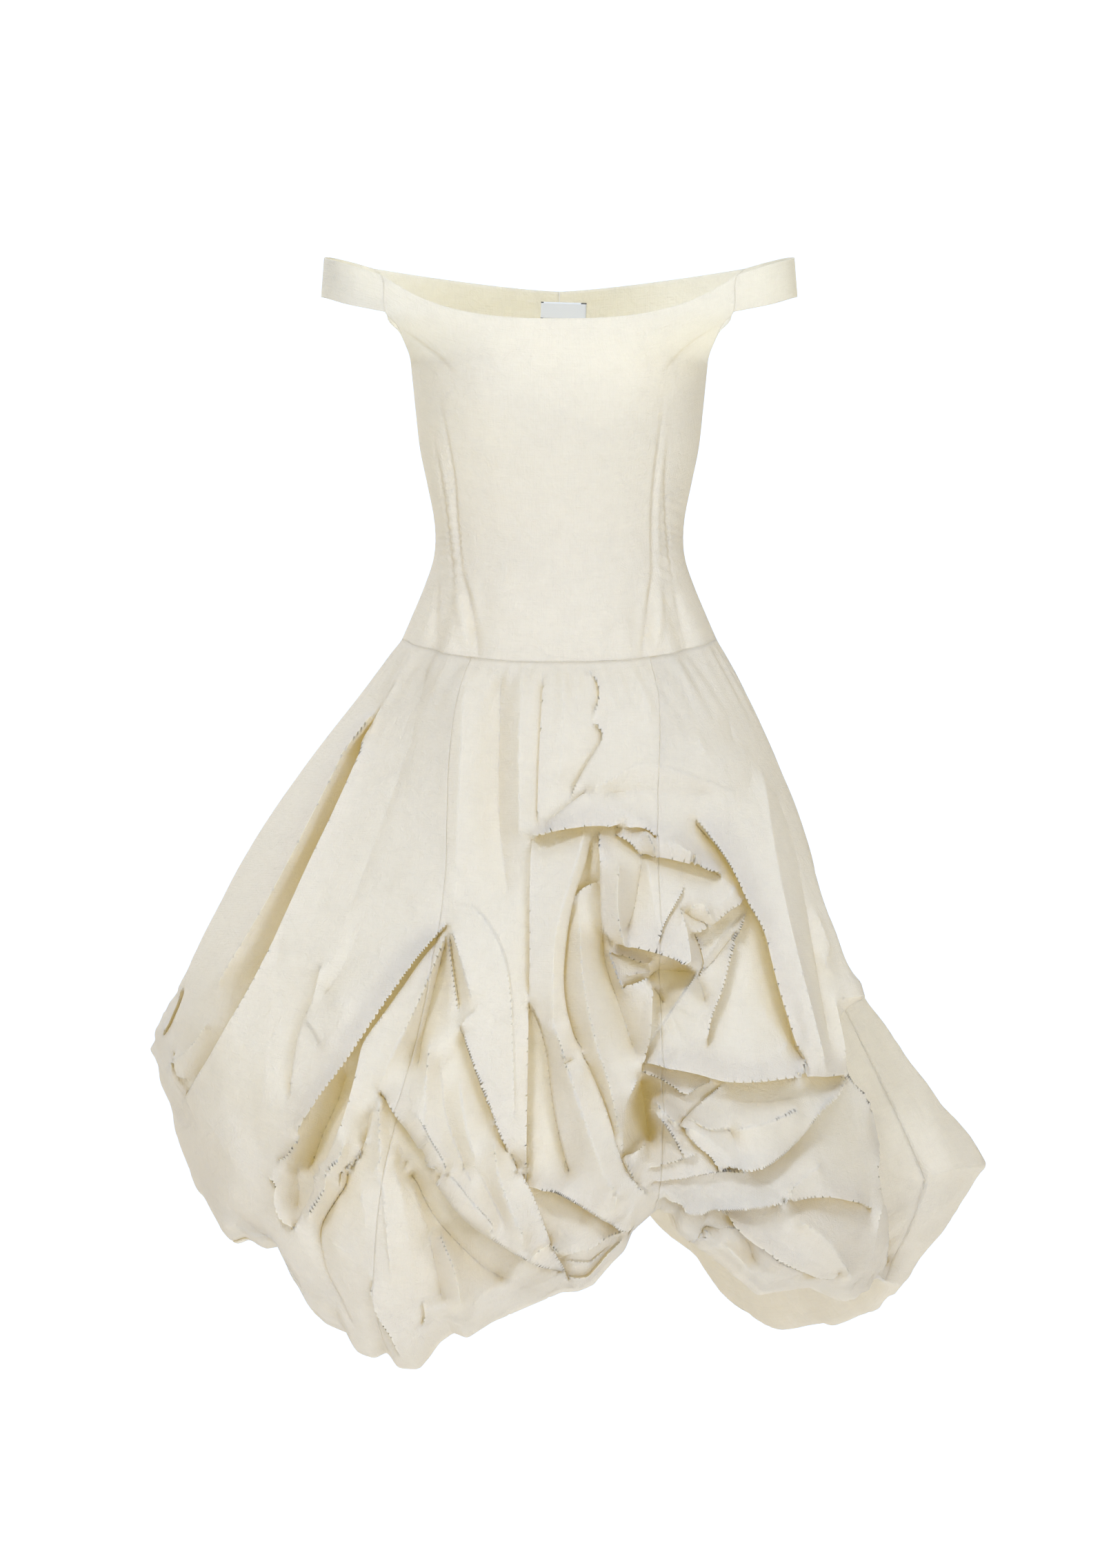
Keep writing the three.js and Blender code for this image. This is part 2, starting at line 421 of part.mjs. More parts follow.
// A closed wall of cloth on a surface. surface and normalAt take the same two parameters.
function clothWall(surface, normalAt, columns, rows, thickness = clothThickness) {
  const positions = [];
  const across = columns.length;
  const down = rows.length;
  for (const side of [0.5, -0.5]) {
    for (const b of rows) {
      for (const a of columns) {
        const p = surface(a, b).addScaledVector(normalAt(a, b), side * thickness);
        positions.push(p.x, p.y, p.z);
      }
    }
  }
  const layer = across * down;
  const at = (i, j, k) => k * layer + j * across + i;
  const index = [];
  const quad = (a, b, c, d) => index.push(a, b, c, a, c, d);
  const apart = (a, b) => Math.hypot(...[0, 1, 2].map((k) => positions[3 * a + k] - positions[3 * b + k]));
  for (let j = 0; j < down - 1; j += 1) {
    for (let i = 0; i < across - 1; i += 1) {
      const outer = [at(i, j, 0), at(i, j + 1, 0), at(i + 1, j + 1, 0), at(i + 1, j, 0)];
      const inner = outer.map((k) => k + layer);
      const [a, b, c, d] = outer;
      const turned = apart(b, d) < apart(a, c);
      if (turned) {
        quad(b, c, d, a);
        quad(inner[1], inner[0], inner[3], inner[2]);
      } else {
        quad(a, b, c, d);
        quad(inner[0], inner[3], inner[2], inner[1]);
      }
    }
  }
  for (let i = 0; i < across - 1; i += 1) {
    quad(at(i, 0, 0), at(i + 1, 0, 0), at(i + 1, 0, 1), at(i, 0, 1));
    quad(at(i, down - 1, 0), at(i, down - 1, 1), at(i + 1, down - 1, 1), at(i + 1, down - 1, 0));
  }
  for (let j = 0; j < down - 1; j += 1) {
    quad(at(0, j, 0), at(0, j, 1), at(0, j + 1, 1), at(0, j + 1, 0));
    quad(at(across - 1, j, 0), at(across - 1, j + 1, 0), at(across - 1, j + 1, 1), at(across - 1, j, 1));
  }
  const geometry = new THREE.BufferGeometry();
  geometry.setAttribute("position", new THREE.Float32BufferAttribute(positions, 3));
  geometry.setIndex(index);
  geometry.computeVertexNormals();
  return geometry;
}

const clothMaterial = new THREE.MeshStandardMaterial({ color: ivory, roughness: 0.8, metalness: 0 });
const dress = new THREE.Group();
dress.name = "dress";

function addPiece(name, geometry) {
  const mesh = new THREE.Mesh(geometry, clothMaterial.clone());
  mesh.name = name;
  dress.add(mesh);
}

// A skirt panel between two seams, each an azimuth or a table of azimuths down the skirt.
function skirtPanel(name, from, to, columnCount) {
  const azimuthOf = (seam, drop) => (typeof seam === "number" ? seam : readTable(seam, "drop", "azimuth", drop));
  const place = (share, drop) => lerp(azimuthOf(from, drop), azimuthOf(to, drop), share);
  const surface = (share, drop) => {
    const azimuth = place(share, drop);
    const point = skirtPoint(azimuth, drop);
    const inset = share === 0 ? seamGap / 2 : share === 1 ? -seamGap / 2 : 0;
    point.x += inset * Math.cos(azimuth * degrees);
    point.y += inset * Math.sin(azimuth * degrees);
    if (drop === 0) point.z -= seamGap;
    return point;
  };
  const normalAt = (share, drop) => {
    const normal = normalOf(skirtPoint, place(share, drop), drop, normalStepAzimuth, normalStepDrop);
    if (drop === 0) normal.setZ(0).normalize();
    return normal;
  };
  addPiece(name, clothWall(surface, normalAt, evenly(0, 1, columnCount), skirtRows));
}

const skirtRows = [...evenly(0, 0.34, 9), ...evenly(0.34, returnDrop, 30).slice(1)];

function addSkirt() {
  skirtPanel("skirt_front_left", leftSideAzimuth, leftSeam, 14);
  skirtPanel("skirt_front_centre", leftSeam, rightSeam, 19);
  skirtPanel("skirt_front_right", rightSeam, rightSideAzimuth, 23);
  skirtPanel("skirt_back_right", rightSideAzimuth, backSeamAzimuth, 10);
  skirtPanel("skirt_back_left", backSeamAzimuth, 360 + leftSideAzimuth, 10);
}

// A bodice panel between two shares of the way across; its outer side faces away from the wearer.
function bodicePanel(name, from, to, isBack, columnCount) {
  const inset = seamGap / 2 / 170;
  const side = isBack ? -1 : 1;
  const surface = (across, down) => bodicePoint(across, down, isBack);
  const normalAt = (across, down) => {
    const normal = normalOf(surface, across, down, 0.02, 0.01).multiplyScalar(side);
    if (down === 1) normal.setZ(0).normalize();
    return normal;
  };
  const columns = evenly(from + inset, to - inset, columnCount);
  if (isBack) columns.reverse();
  addPiece(name, clothWall(surface, normalAt, columns, bodiceRows(isBack)));
}

function addBodice() {
  bodicePanel("bodice_front", -1, 1, false, 24);
  bodicePanel("bodice_back_left", -1, 0, true, 11);
  bodicePanel("bodice_back_right", 0, 1, true, 11);
}

// An arm band on one side, from its join with the front round to its join with the back.
function armBand(name, side) {
  const edge = (lower) => {
    const front = bodiceSurface(side, lower ? bandBottomFront : neckHeight(1, false), false);
    const back = bodiceSurface(side, lower ? bandBottomBack : neckHeight(1, true), true);
    const flare = lower ? bandFlare : 0;
    const middle = bandStations.map(
      (row) => new THREE.Vector3(side * (row.x + flare), row.y, lower ? row.bottom : row.top),
    );
    return new THREE.CatmullRomCurve3([front, ...middle, back], false, "centripetal");
  };
  const upper = edge(false);
  const lower = edge(true);
  const surface = (along, down) => upper.getPoint(along).lerp(lower.getPoint(along), down);
  const normalAt = (along, down) => {
    const inside = Math.min(0.99, Math.max(0.01, along));
    return normalOf(surface, inside, down, 0.01, 0.1).multiplyScalar(side);
  };
  const inset = seamGap / upper.getLength();
  const columns = evenly(inset, 1 - inset, 16);
  if (side < 0) columns.reverse();
  addPiece(name, clothWall(surface, normalAt, columns, evenly(0, 1, 2)));
}

// The blank label lies against the inside of the centre back, a little askew.
function addLabel() {
  const setBack = clothThickness / 2 + seamGap + labelThickness / 2;
  const surface = (right, up) => {
    const x = labelCentreX + right * Math.cos(labelTilt * degrees) + up * Math.sin(labelTilt * degrees);
    const height = labelCentreHeight + up * Math.cos(labelTilt * degrees) - right * Math.sin(labelTilt * degrees);
    const ring = bodiceSurface(1, height, true);
    const across = x / ring.x;
    const point = bodiceSurface(across, height, true);
    point.y -= setBack;
    return point;
  };
  const normalAt = () => new THREE.Vector3(0, -1, 0);
  const columns = evenly(-labelWidth / 2, labelWidth / 2, 8);
  const rows = evenly(labelHeight / 2, -labelHeight / 2, 2);
  addPiece("neck_label", clothWall(surface, normalAt, columns, rows, labelThickness));
}

addBodice();
armBand("arm_band_left", -1);
armBand("arm_band_right", 1);
addLabel();
addSkirt();

export default dress;
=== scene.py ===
import math
import bpy
import bmesh
import numpy as np
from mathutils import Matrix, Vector
from mathutils.kdtree import KDTree


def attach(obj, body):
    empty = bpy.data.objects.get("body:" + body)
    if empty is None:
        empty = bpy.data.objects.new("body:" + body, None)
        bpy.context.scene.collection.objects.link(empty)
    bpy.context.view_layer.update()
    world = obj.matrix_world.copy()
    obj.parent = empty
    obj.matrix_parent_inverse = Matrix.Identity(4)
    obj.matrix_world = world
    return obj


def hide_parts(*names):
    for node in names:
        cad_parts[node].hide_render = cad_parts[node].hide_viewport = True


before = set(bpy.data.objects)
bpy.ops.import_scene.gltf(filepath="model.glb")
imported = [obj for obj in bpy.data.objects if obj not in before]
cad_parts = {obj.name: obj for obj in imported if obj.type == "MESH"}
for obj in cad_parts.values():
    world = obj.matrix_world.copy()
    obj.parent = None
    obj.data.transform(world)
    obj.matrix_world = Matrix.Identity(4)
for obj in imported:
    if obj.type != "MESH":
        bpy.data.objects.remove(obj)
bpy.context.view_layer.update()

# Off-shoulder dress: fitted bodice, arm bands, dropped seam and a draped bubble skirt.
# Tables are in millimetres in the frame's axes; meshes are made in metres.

mm = 0.001
cloth = {"thickness": 1.0, "seamGap": 0.06, "sharp": 60}  # sharp: the angle in degrees that shades as an edge
photo = {  # the camera, and the height of its frame at the waist
    "distance": 10000.0, "centreX": 0.7, "centreZ": -242.5, "height": 1568.4,
}


def crease(route, left, right, lean=0, firm=1.0, back=False):
    return {"route": route, "left": left, "right": right, "lean": lean, "firm": firm, "back": back}


def swell(route, rise, reach, back=False):
    return {"route": route, "rise": rise, "reach": reach, "back": back}


def smooth(low, high, x):
    t = np.clip((x - low) / (high - low), 0, 1)
    return t * t * (3 - 2 * t)


def curveThrough(xs, ys, at):  # a smooth curve through a table's column
    xs, ys = np.asarray(xs, float), np.asarray(ys, float)
    if xs[0] > xs[-1]:
        xs, ys = xs[::-1], ys[::-1]
    before, after = np.maximum(np.arange(len(xs)) - 1, 0), np.minimum(np.arange(len(xs)) + 1, len(xs) - 1)
    slopes = (ys[after] - ys[before]) / (xs[after] - xs[before])
    i = np.clip(np.searchsorted(xs, at, side="right") - 1, 0, len(xs) - 2)
    span = xs[i + 1] - xs[i]
    t = np.clip((at - xs[i]) / span, 0, 1)
    return between(ys[i], ys[i + 1], slopes[i] * span, slopes[i + 1] * span, t)


def between(a, b, slopeA, slopeB, t):
    t2, t3 = t * t, t * t * t
    return ((2 * t3 - 3 * t2 + 1) * a + (t3 - 2 * t2 + t) * slopeA
            + (3 * t2 - 2 * t3) * b + (t3 - t2) * slopeB)


# Bodice
bodice = {
    "rings": [  # height, half width at the side, depth front and back, y of the side edge front and back
        (285, 196, 92, 98, 64, 74),
        (264, 177, 97, 100, 72, 78),
        (226, 173, 107, 104, 79, 84),
        (214, 162, 111, 105, 74, 77),
        (200, 155, 115, 105, 56, 58),
        (184, 149, 118, 105, 28, 30),
        (172, 147.5, 120, 105, 0, 0),
        (128, 143, 120, 102, 0, 0),
        (93, 139, 112, 98, 0, 0),
        (59, 132, 103, 94, 0, 0),
        (24, 125, 97, 92, 0, 0),
        (0, 123.5, 95, 91, 0, 0),
        (-20, 126, 97, 94, 0, 0),
        (-45, 134.5, 103, 102, 0, 0),
        (-75, 147, 111, 112, 0, 0),
        (-98, 157, 117, 120, 0, 0),
        (-125, 169, 124, 129, 0, 0),
    ],
    "neckFront": 218, "neckFrontRise": 45,
    "neckBack": 255, "neckBackRise": 22,
    "basqueSide": -98, "basqueDipFront": 24, "basqueDipBack": 20,
    "bust": (76, 146, 56, 11),  # x, z, radius, rise
    "cells": (176, 184), "backCells": (64, 110),
}


def bodiceSurface(across, height, back):
    rings = np.array(bodice["rings"], float)
    column = lambda k: curveThrough(rings[:, 0], rings[:, k], height)
    depth, edge = column(3 if back else 2), np.maximum(0, column(5 if back else 4))
    edgeAngle = np.arccos(np.minimum(1, edge / depth))
    angle = across * edgeAngle
    x = column(1) * np.sin(angle) / np.sin(edgeAngle)
    y = depth * np.cos(angle) * (1 if back else -1)
    if not back:
        bustX, bustZ, radius, rise = bodice["bust"]
        inner = 1 - smooth(0.72, 1, np.abs(across))
        y = y - rise * inner * np.exp(-(((np.abs(x) - bustX) ** 2 + (height - bustZ) ** 2) / radius ** 2))
    return np.stack([x, y, height + 0 * x], -1)


def neckHeight(across, back):
    if back:
        return bodice["neckBack"] + bodice["neckBackRise"] * np.abs(across) ** 1.3
    return bodice["neckFront"] + bodice["neckFrontRise"] * np.abs(across) ** 2.6


def basqueLine(sine, back):
    dip = bodice["basqueDipBack" if back else "basqueDipFront"]
    return bodice["basqueSide"] - dip * (1 - np.abs(sine) ** 2.6)


bodiceLines = [  # darts and soft ridges of the front
    swell([(-156, 211), (-139, 199), (-118, 183), (-104, 168)], -1.6, 2.6),
    swell([(155, 213), (130, 197), (103, 170)], -1.6, 2.6),
    swell([(-119, 145), (-108, 86), (-104, 59), (-101, 17), (-96, -31)], -1.76, 2.4),
    swell([(-125, 107), (-118, 66), (-112, 24), (-108, -10), (-103, -59)], -1.44, 2.4),
    swell([(-122, 100), (-112, 50), (-106, 0), (-100, -40)], 1.76, 4),
    swell([(-96, -31), (-87, -66), (-79, -119)], -3.84, 3.4),
    swell([(-107, -40), (-97, -80), (-90, -116)], 3.52, 5),
    swell([(-118, -31), (-122, -70), (-124, -104)], -2.88, 5),
    swell([(103, 145), (98, 93), (94, 59), (92, 24), (92, -31)], -1.76, 2.4),
    swell([(108, 107), (105, 59), (107, 10), (113, -45)], -1.44, 2.4),
    swell([(106, 100), (99, 50), (99, 0), (102, -40)], 1.76, 4),
    swell([(92, -31), (88, -66), (82, -119)], -3.84, 3.4),
    swell([(103, -40), (100, -80), (94, -116)], 3.52, 5),
    swell([(113, -45), (121, -80), (127, -104)], -2.88, 5),
    swell([(-77, -31), (-46, -66), (-8, -100)], 2.24, 16),
    swell([(77, -31), (46, -66), (8, -100)], 2.24, 16),
]
puckers = {  # small ripples of the cloth beside the waist darts
    "x": 108, "slant": 0.06, "width": 12, "height": 0.8,
    "start": (-80, -25), "end": (10, 125),  # heights over which they grow and die away
    "down": 0.66, "across": 0.2, "wander": (2.2, 0.13),  # radians a millimetre, and how unevenly
}
basqueFlutes = [  # angle, top, width, depth
    (32, -26, 5, -3.5), (41, -30, 6, 4), (51, -28, 5, -3), (62, -34, 7, 3),
]


bodiceSeams = [  # where the darts are sewn; a painted shade line darkens the cloth along each
    [(-160, 214), (-139, 199), (-118, 183), (-104, 168)],
    [(158, 215), (130, 197), (103, 170)],
    [(-119, 145), (-108, 86), (-104, 59), (-101, 17), (-96, -31), (-87, -66), (-79, -119)],
    [(103, 145), (98, 93), (94, 59), (92, 24), (92, -31), (88, -66), (82, -119)],
    [(-125, 107), (-118, 66), (-112, 24), (-108, -10), (-103, -59)],
    [(108, 107), (105, 59), (107, 10), (113, -45)],
]


def bodicePoint(across, down, back):
    top, bottom = neckHeight(across, back), basqueLine(np.sin(across * math.pi / 2), back)
    height = top + (bottom - top) * down
    point = bodiceSurface(across, height, back)
    if not back:
        reach = 0
        for angle, start, width, depth in basqueFlutes:
            offset = (np.abs(across * 90) - angle) / width
            reach = reach + depth * np.exp(-offset ** 2) * smooth(start, bodice["basqueSide"], height)
        out = point[..., :2] / np.linalg.norm(point[..., :2], axis=-1, keepdims=True)
        point[..., :2] += out * reach[..., None]
    return point


def basqueRing():
    front = bodicePoint(np.linspace(-1, 1, 721), 1.0, False)
    back = bodicePoint(np.linspace(1, -1, 721), 1.0, True)[1:-1]
    ring = np.concatenate([front, back])
    azimuth = np.degrees(np.arctan2(ring[:, 0], -ring[:, 1]))
    order = np.argsort(azimuth)
    return azimuth[order], np.hypot(ring[order, 0], ring[order, 1]), ring[order, 2]


# Skirt
skirt = {
    "knots": (0, 0.1, 0.26, 0.44, 0.74, 1, 1.22),
    "hip": -180, "thigh": -300, "knee": -430,
    "returnInset": 62, "returnRise": 66,
    "meridians": [  # azimuth, reach at hip, thigh and knee, belly reach and height, hem reach and height
        (-180, 178, 240, 296, 336, -545, 300, -645),
        (-150, 182, 248, 310, 352, -545, 314, -642),
        (-125, 196, 268, 336, 384, -540, 342, -638),
        (-108, 207, 286, 356, 394, -528, 342, -612),
        (-90, 214, 299, 371, 408, -508, 354, -580),
        (-75, 206, 292, 362, 382, -560, 362, -655),
        (-60, 194, 272, 342, 376, -610, 366, -706),
        (-45, 184, 254, 322, 364, -650, 340, -768),
        (-30, 176, 240, 304, 354, -690, 318, -820),
        (-15, 172, 233, 294, 342, -670, 298, -795),
        (0, 172, 233, 290, 332, -635, 292, -748),
        (11, 173, 236, 292, 330, -600, 292, -706),
        (18, 175, 239, 294, 328, -585, 296, -674),
        (26, 178, 243, 298, 334, -600, 300, -686),
        (36, 183, 250, 303, 342, -630, 306, -736),
        (50, 190, 256, 306, 348, -655, 312, -758),
        (65, 195, 255, 295, 342, -665, 316, -750),
        (78, 198, 248, 272, 336, -652, 318, -738),
        (88, 197, 244, 272, 392, -628, 334, -742),
        (100, 193, 243, 280, 433, -626, 346, -750),
        (114, 190, 245, 294, 420, -628, 348, -776),
        (128, 188, 247, 304, 390, -628, 340, -794),
        (142, 184, 245, 306, 368, -612, 325, -788),
        (156, 180, 242, 300, 350, -585, 310, -712),
        (168, 178, 240, 297, 340, -560, 304, -665),
        (180, 178, 240, 296, 336, -545, 300, -645),
    ],
    "corners": [(106, 32, 1), (-98, 16, 0.9)],  # azimuth, reach and share of straight sides at the belly
    "leftSeam": [(0, -41), (0.35, -25), (0.7, -30), (1.22, -31)],  # drop, azimuth
    "rightSeam": [(0, 42), (0.2, 26), (0.5, 19), (1.22, 17.5)],
    "rightSide": 84, "backSeam": 180, "leftSide": -96,
    "dips": (0.05, 0.35, 0.35, 0.05, 0.35, 0.05),  # how deep each seam lies, from the left side round
    "cells": {  # across each panel, and how much closer they lie at its end than at its start
        "skirt_front_left": (152, -0.35), "skirt_front_centre": (152, 0), "skirt_front_right": (160, 0.3),
        "skirt_back_right": (88, 0), "skirt_back_left": (72, 0)},
    "rows": [(0, 0.16, 26), (0.16, 0.3, 38), (0.3, 1, 220), (1, 1.22, 20)],  # from drop, to drop, cells
}
drape = {
    "near": 9, "lip": 0.6,  # how far from a crease its points are sought, and how near they are drawn to it
    "toward": 7,  # how much more the folds rise towards the front or the back than straight out
    "overlap": 0.65, "ridge": 1.8,  # shares of the tables' heights at overlaps and at ridges
    "gain": 0.4, "firmness": 160, "span": 70, "leanSpan": 16,  # how far the cloth takes to level out
    "levels": [(8, 240), (4, 160), (2, 100), (1, 60)],  # stride of the grid and rounds of stretching
    "crumple": 0.1, "waves": 9, "facets": (26, 92),  # height, count, shortest and longest of its waves
    "girth": 330, "fall": 860,  # the skirt's mean reach and its length from seam to hem
    "seed": 7,
}
hem = {
    "pinch": 9, "lift": 9,  # how far the scallops' cusps are drawn in and up
    "scallops": 15, "uneven": [(1.4, 3, 0.7), (0.9, 7, 0)],  # count, and waves that shift them
    "ripples": [(0.7, 58, 0, 2), (0.5, 37, 1, 0)],  # seam gathers: height, count, start, wander
    "front": [  # X and Z of the front's lower edge in the photograph's view
        (-352, -655), (-331, -693), (-323, -703), (-310, -698), (-294, -708), (-276, -705), (-262, -743),
        (-249, -766), (-230, -784), (-209, -793), (-199, -812), (-185, -817), (-172, -811), (-161, -827),
        (-142, -828), (-120, -802), (-106, -792), (-92, -797), (-67, -781), (2, -751), (18, -750),
        (33, -744), (52, -722), (64, -710), (70, -693), (99, -666), (103, -671), (114, -672), (119, -691),
        (137, -704), (158, -720), (179, -737), (198, -754), (220, -750), (250, -746), (276, -757),
        (285, -761), (312, -746), (326, -726)],
}

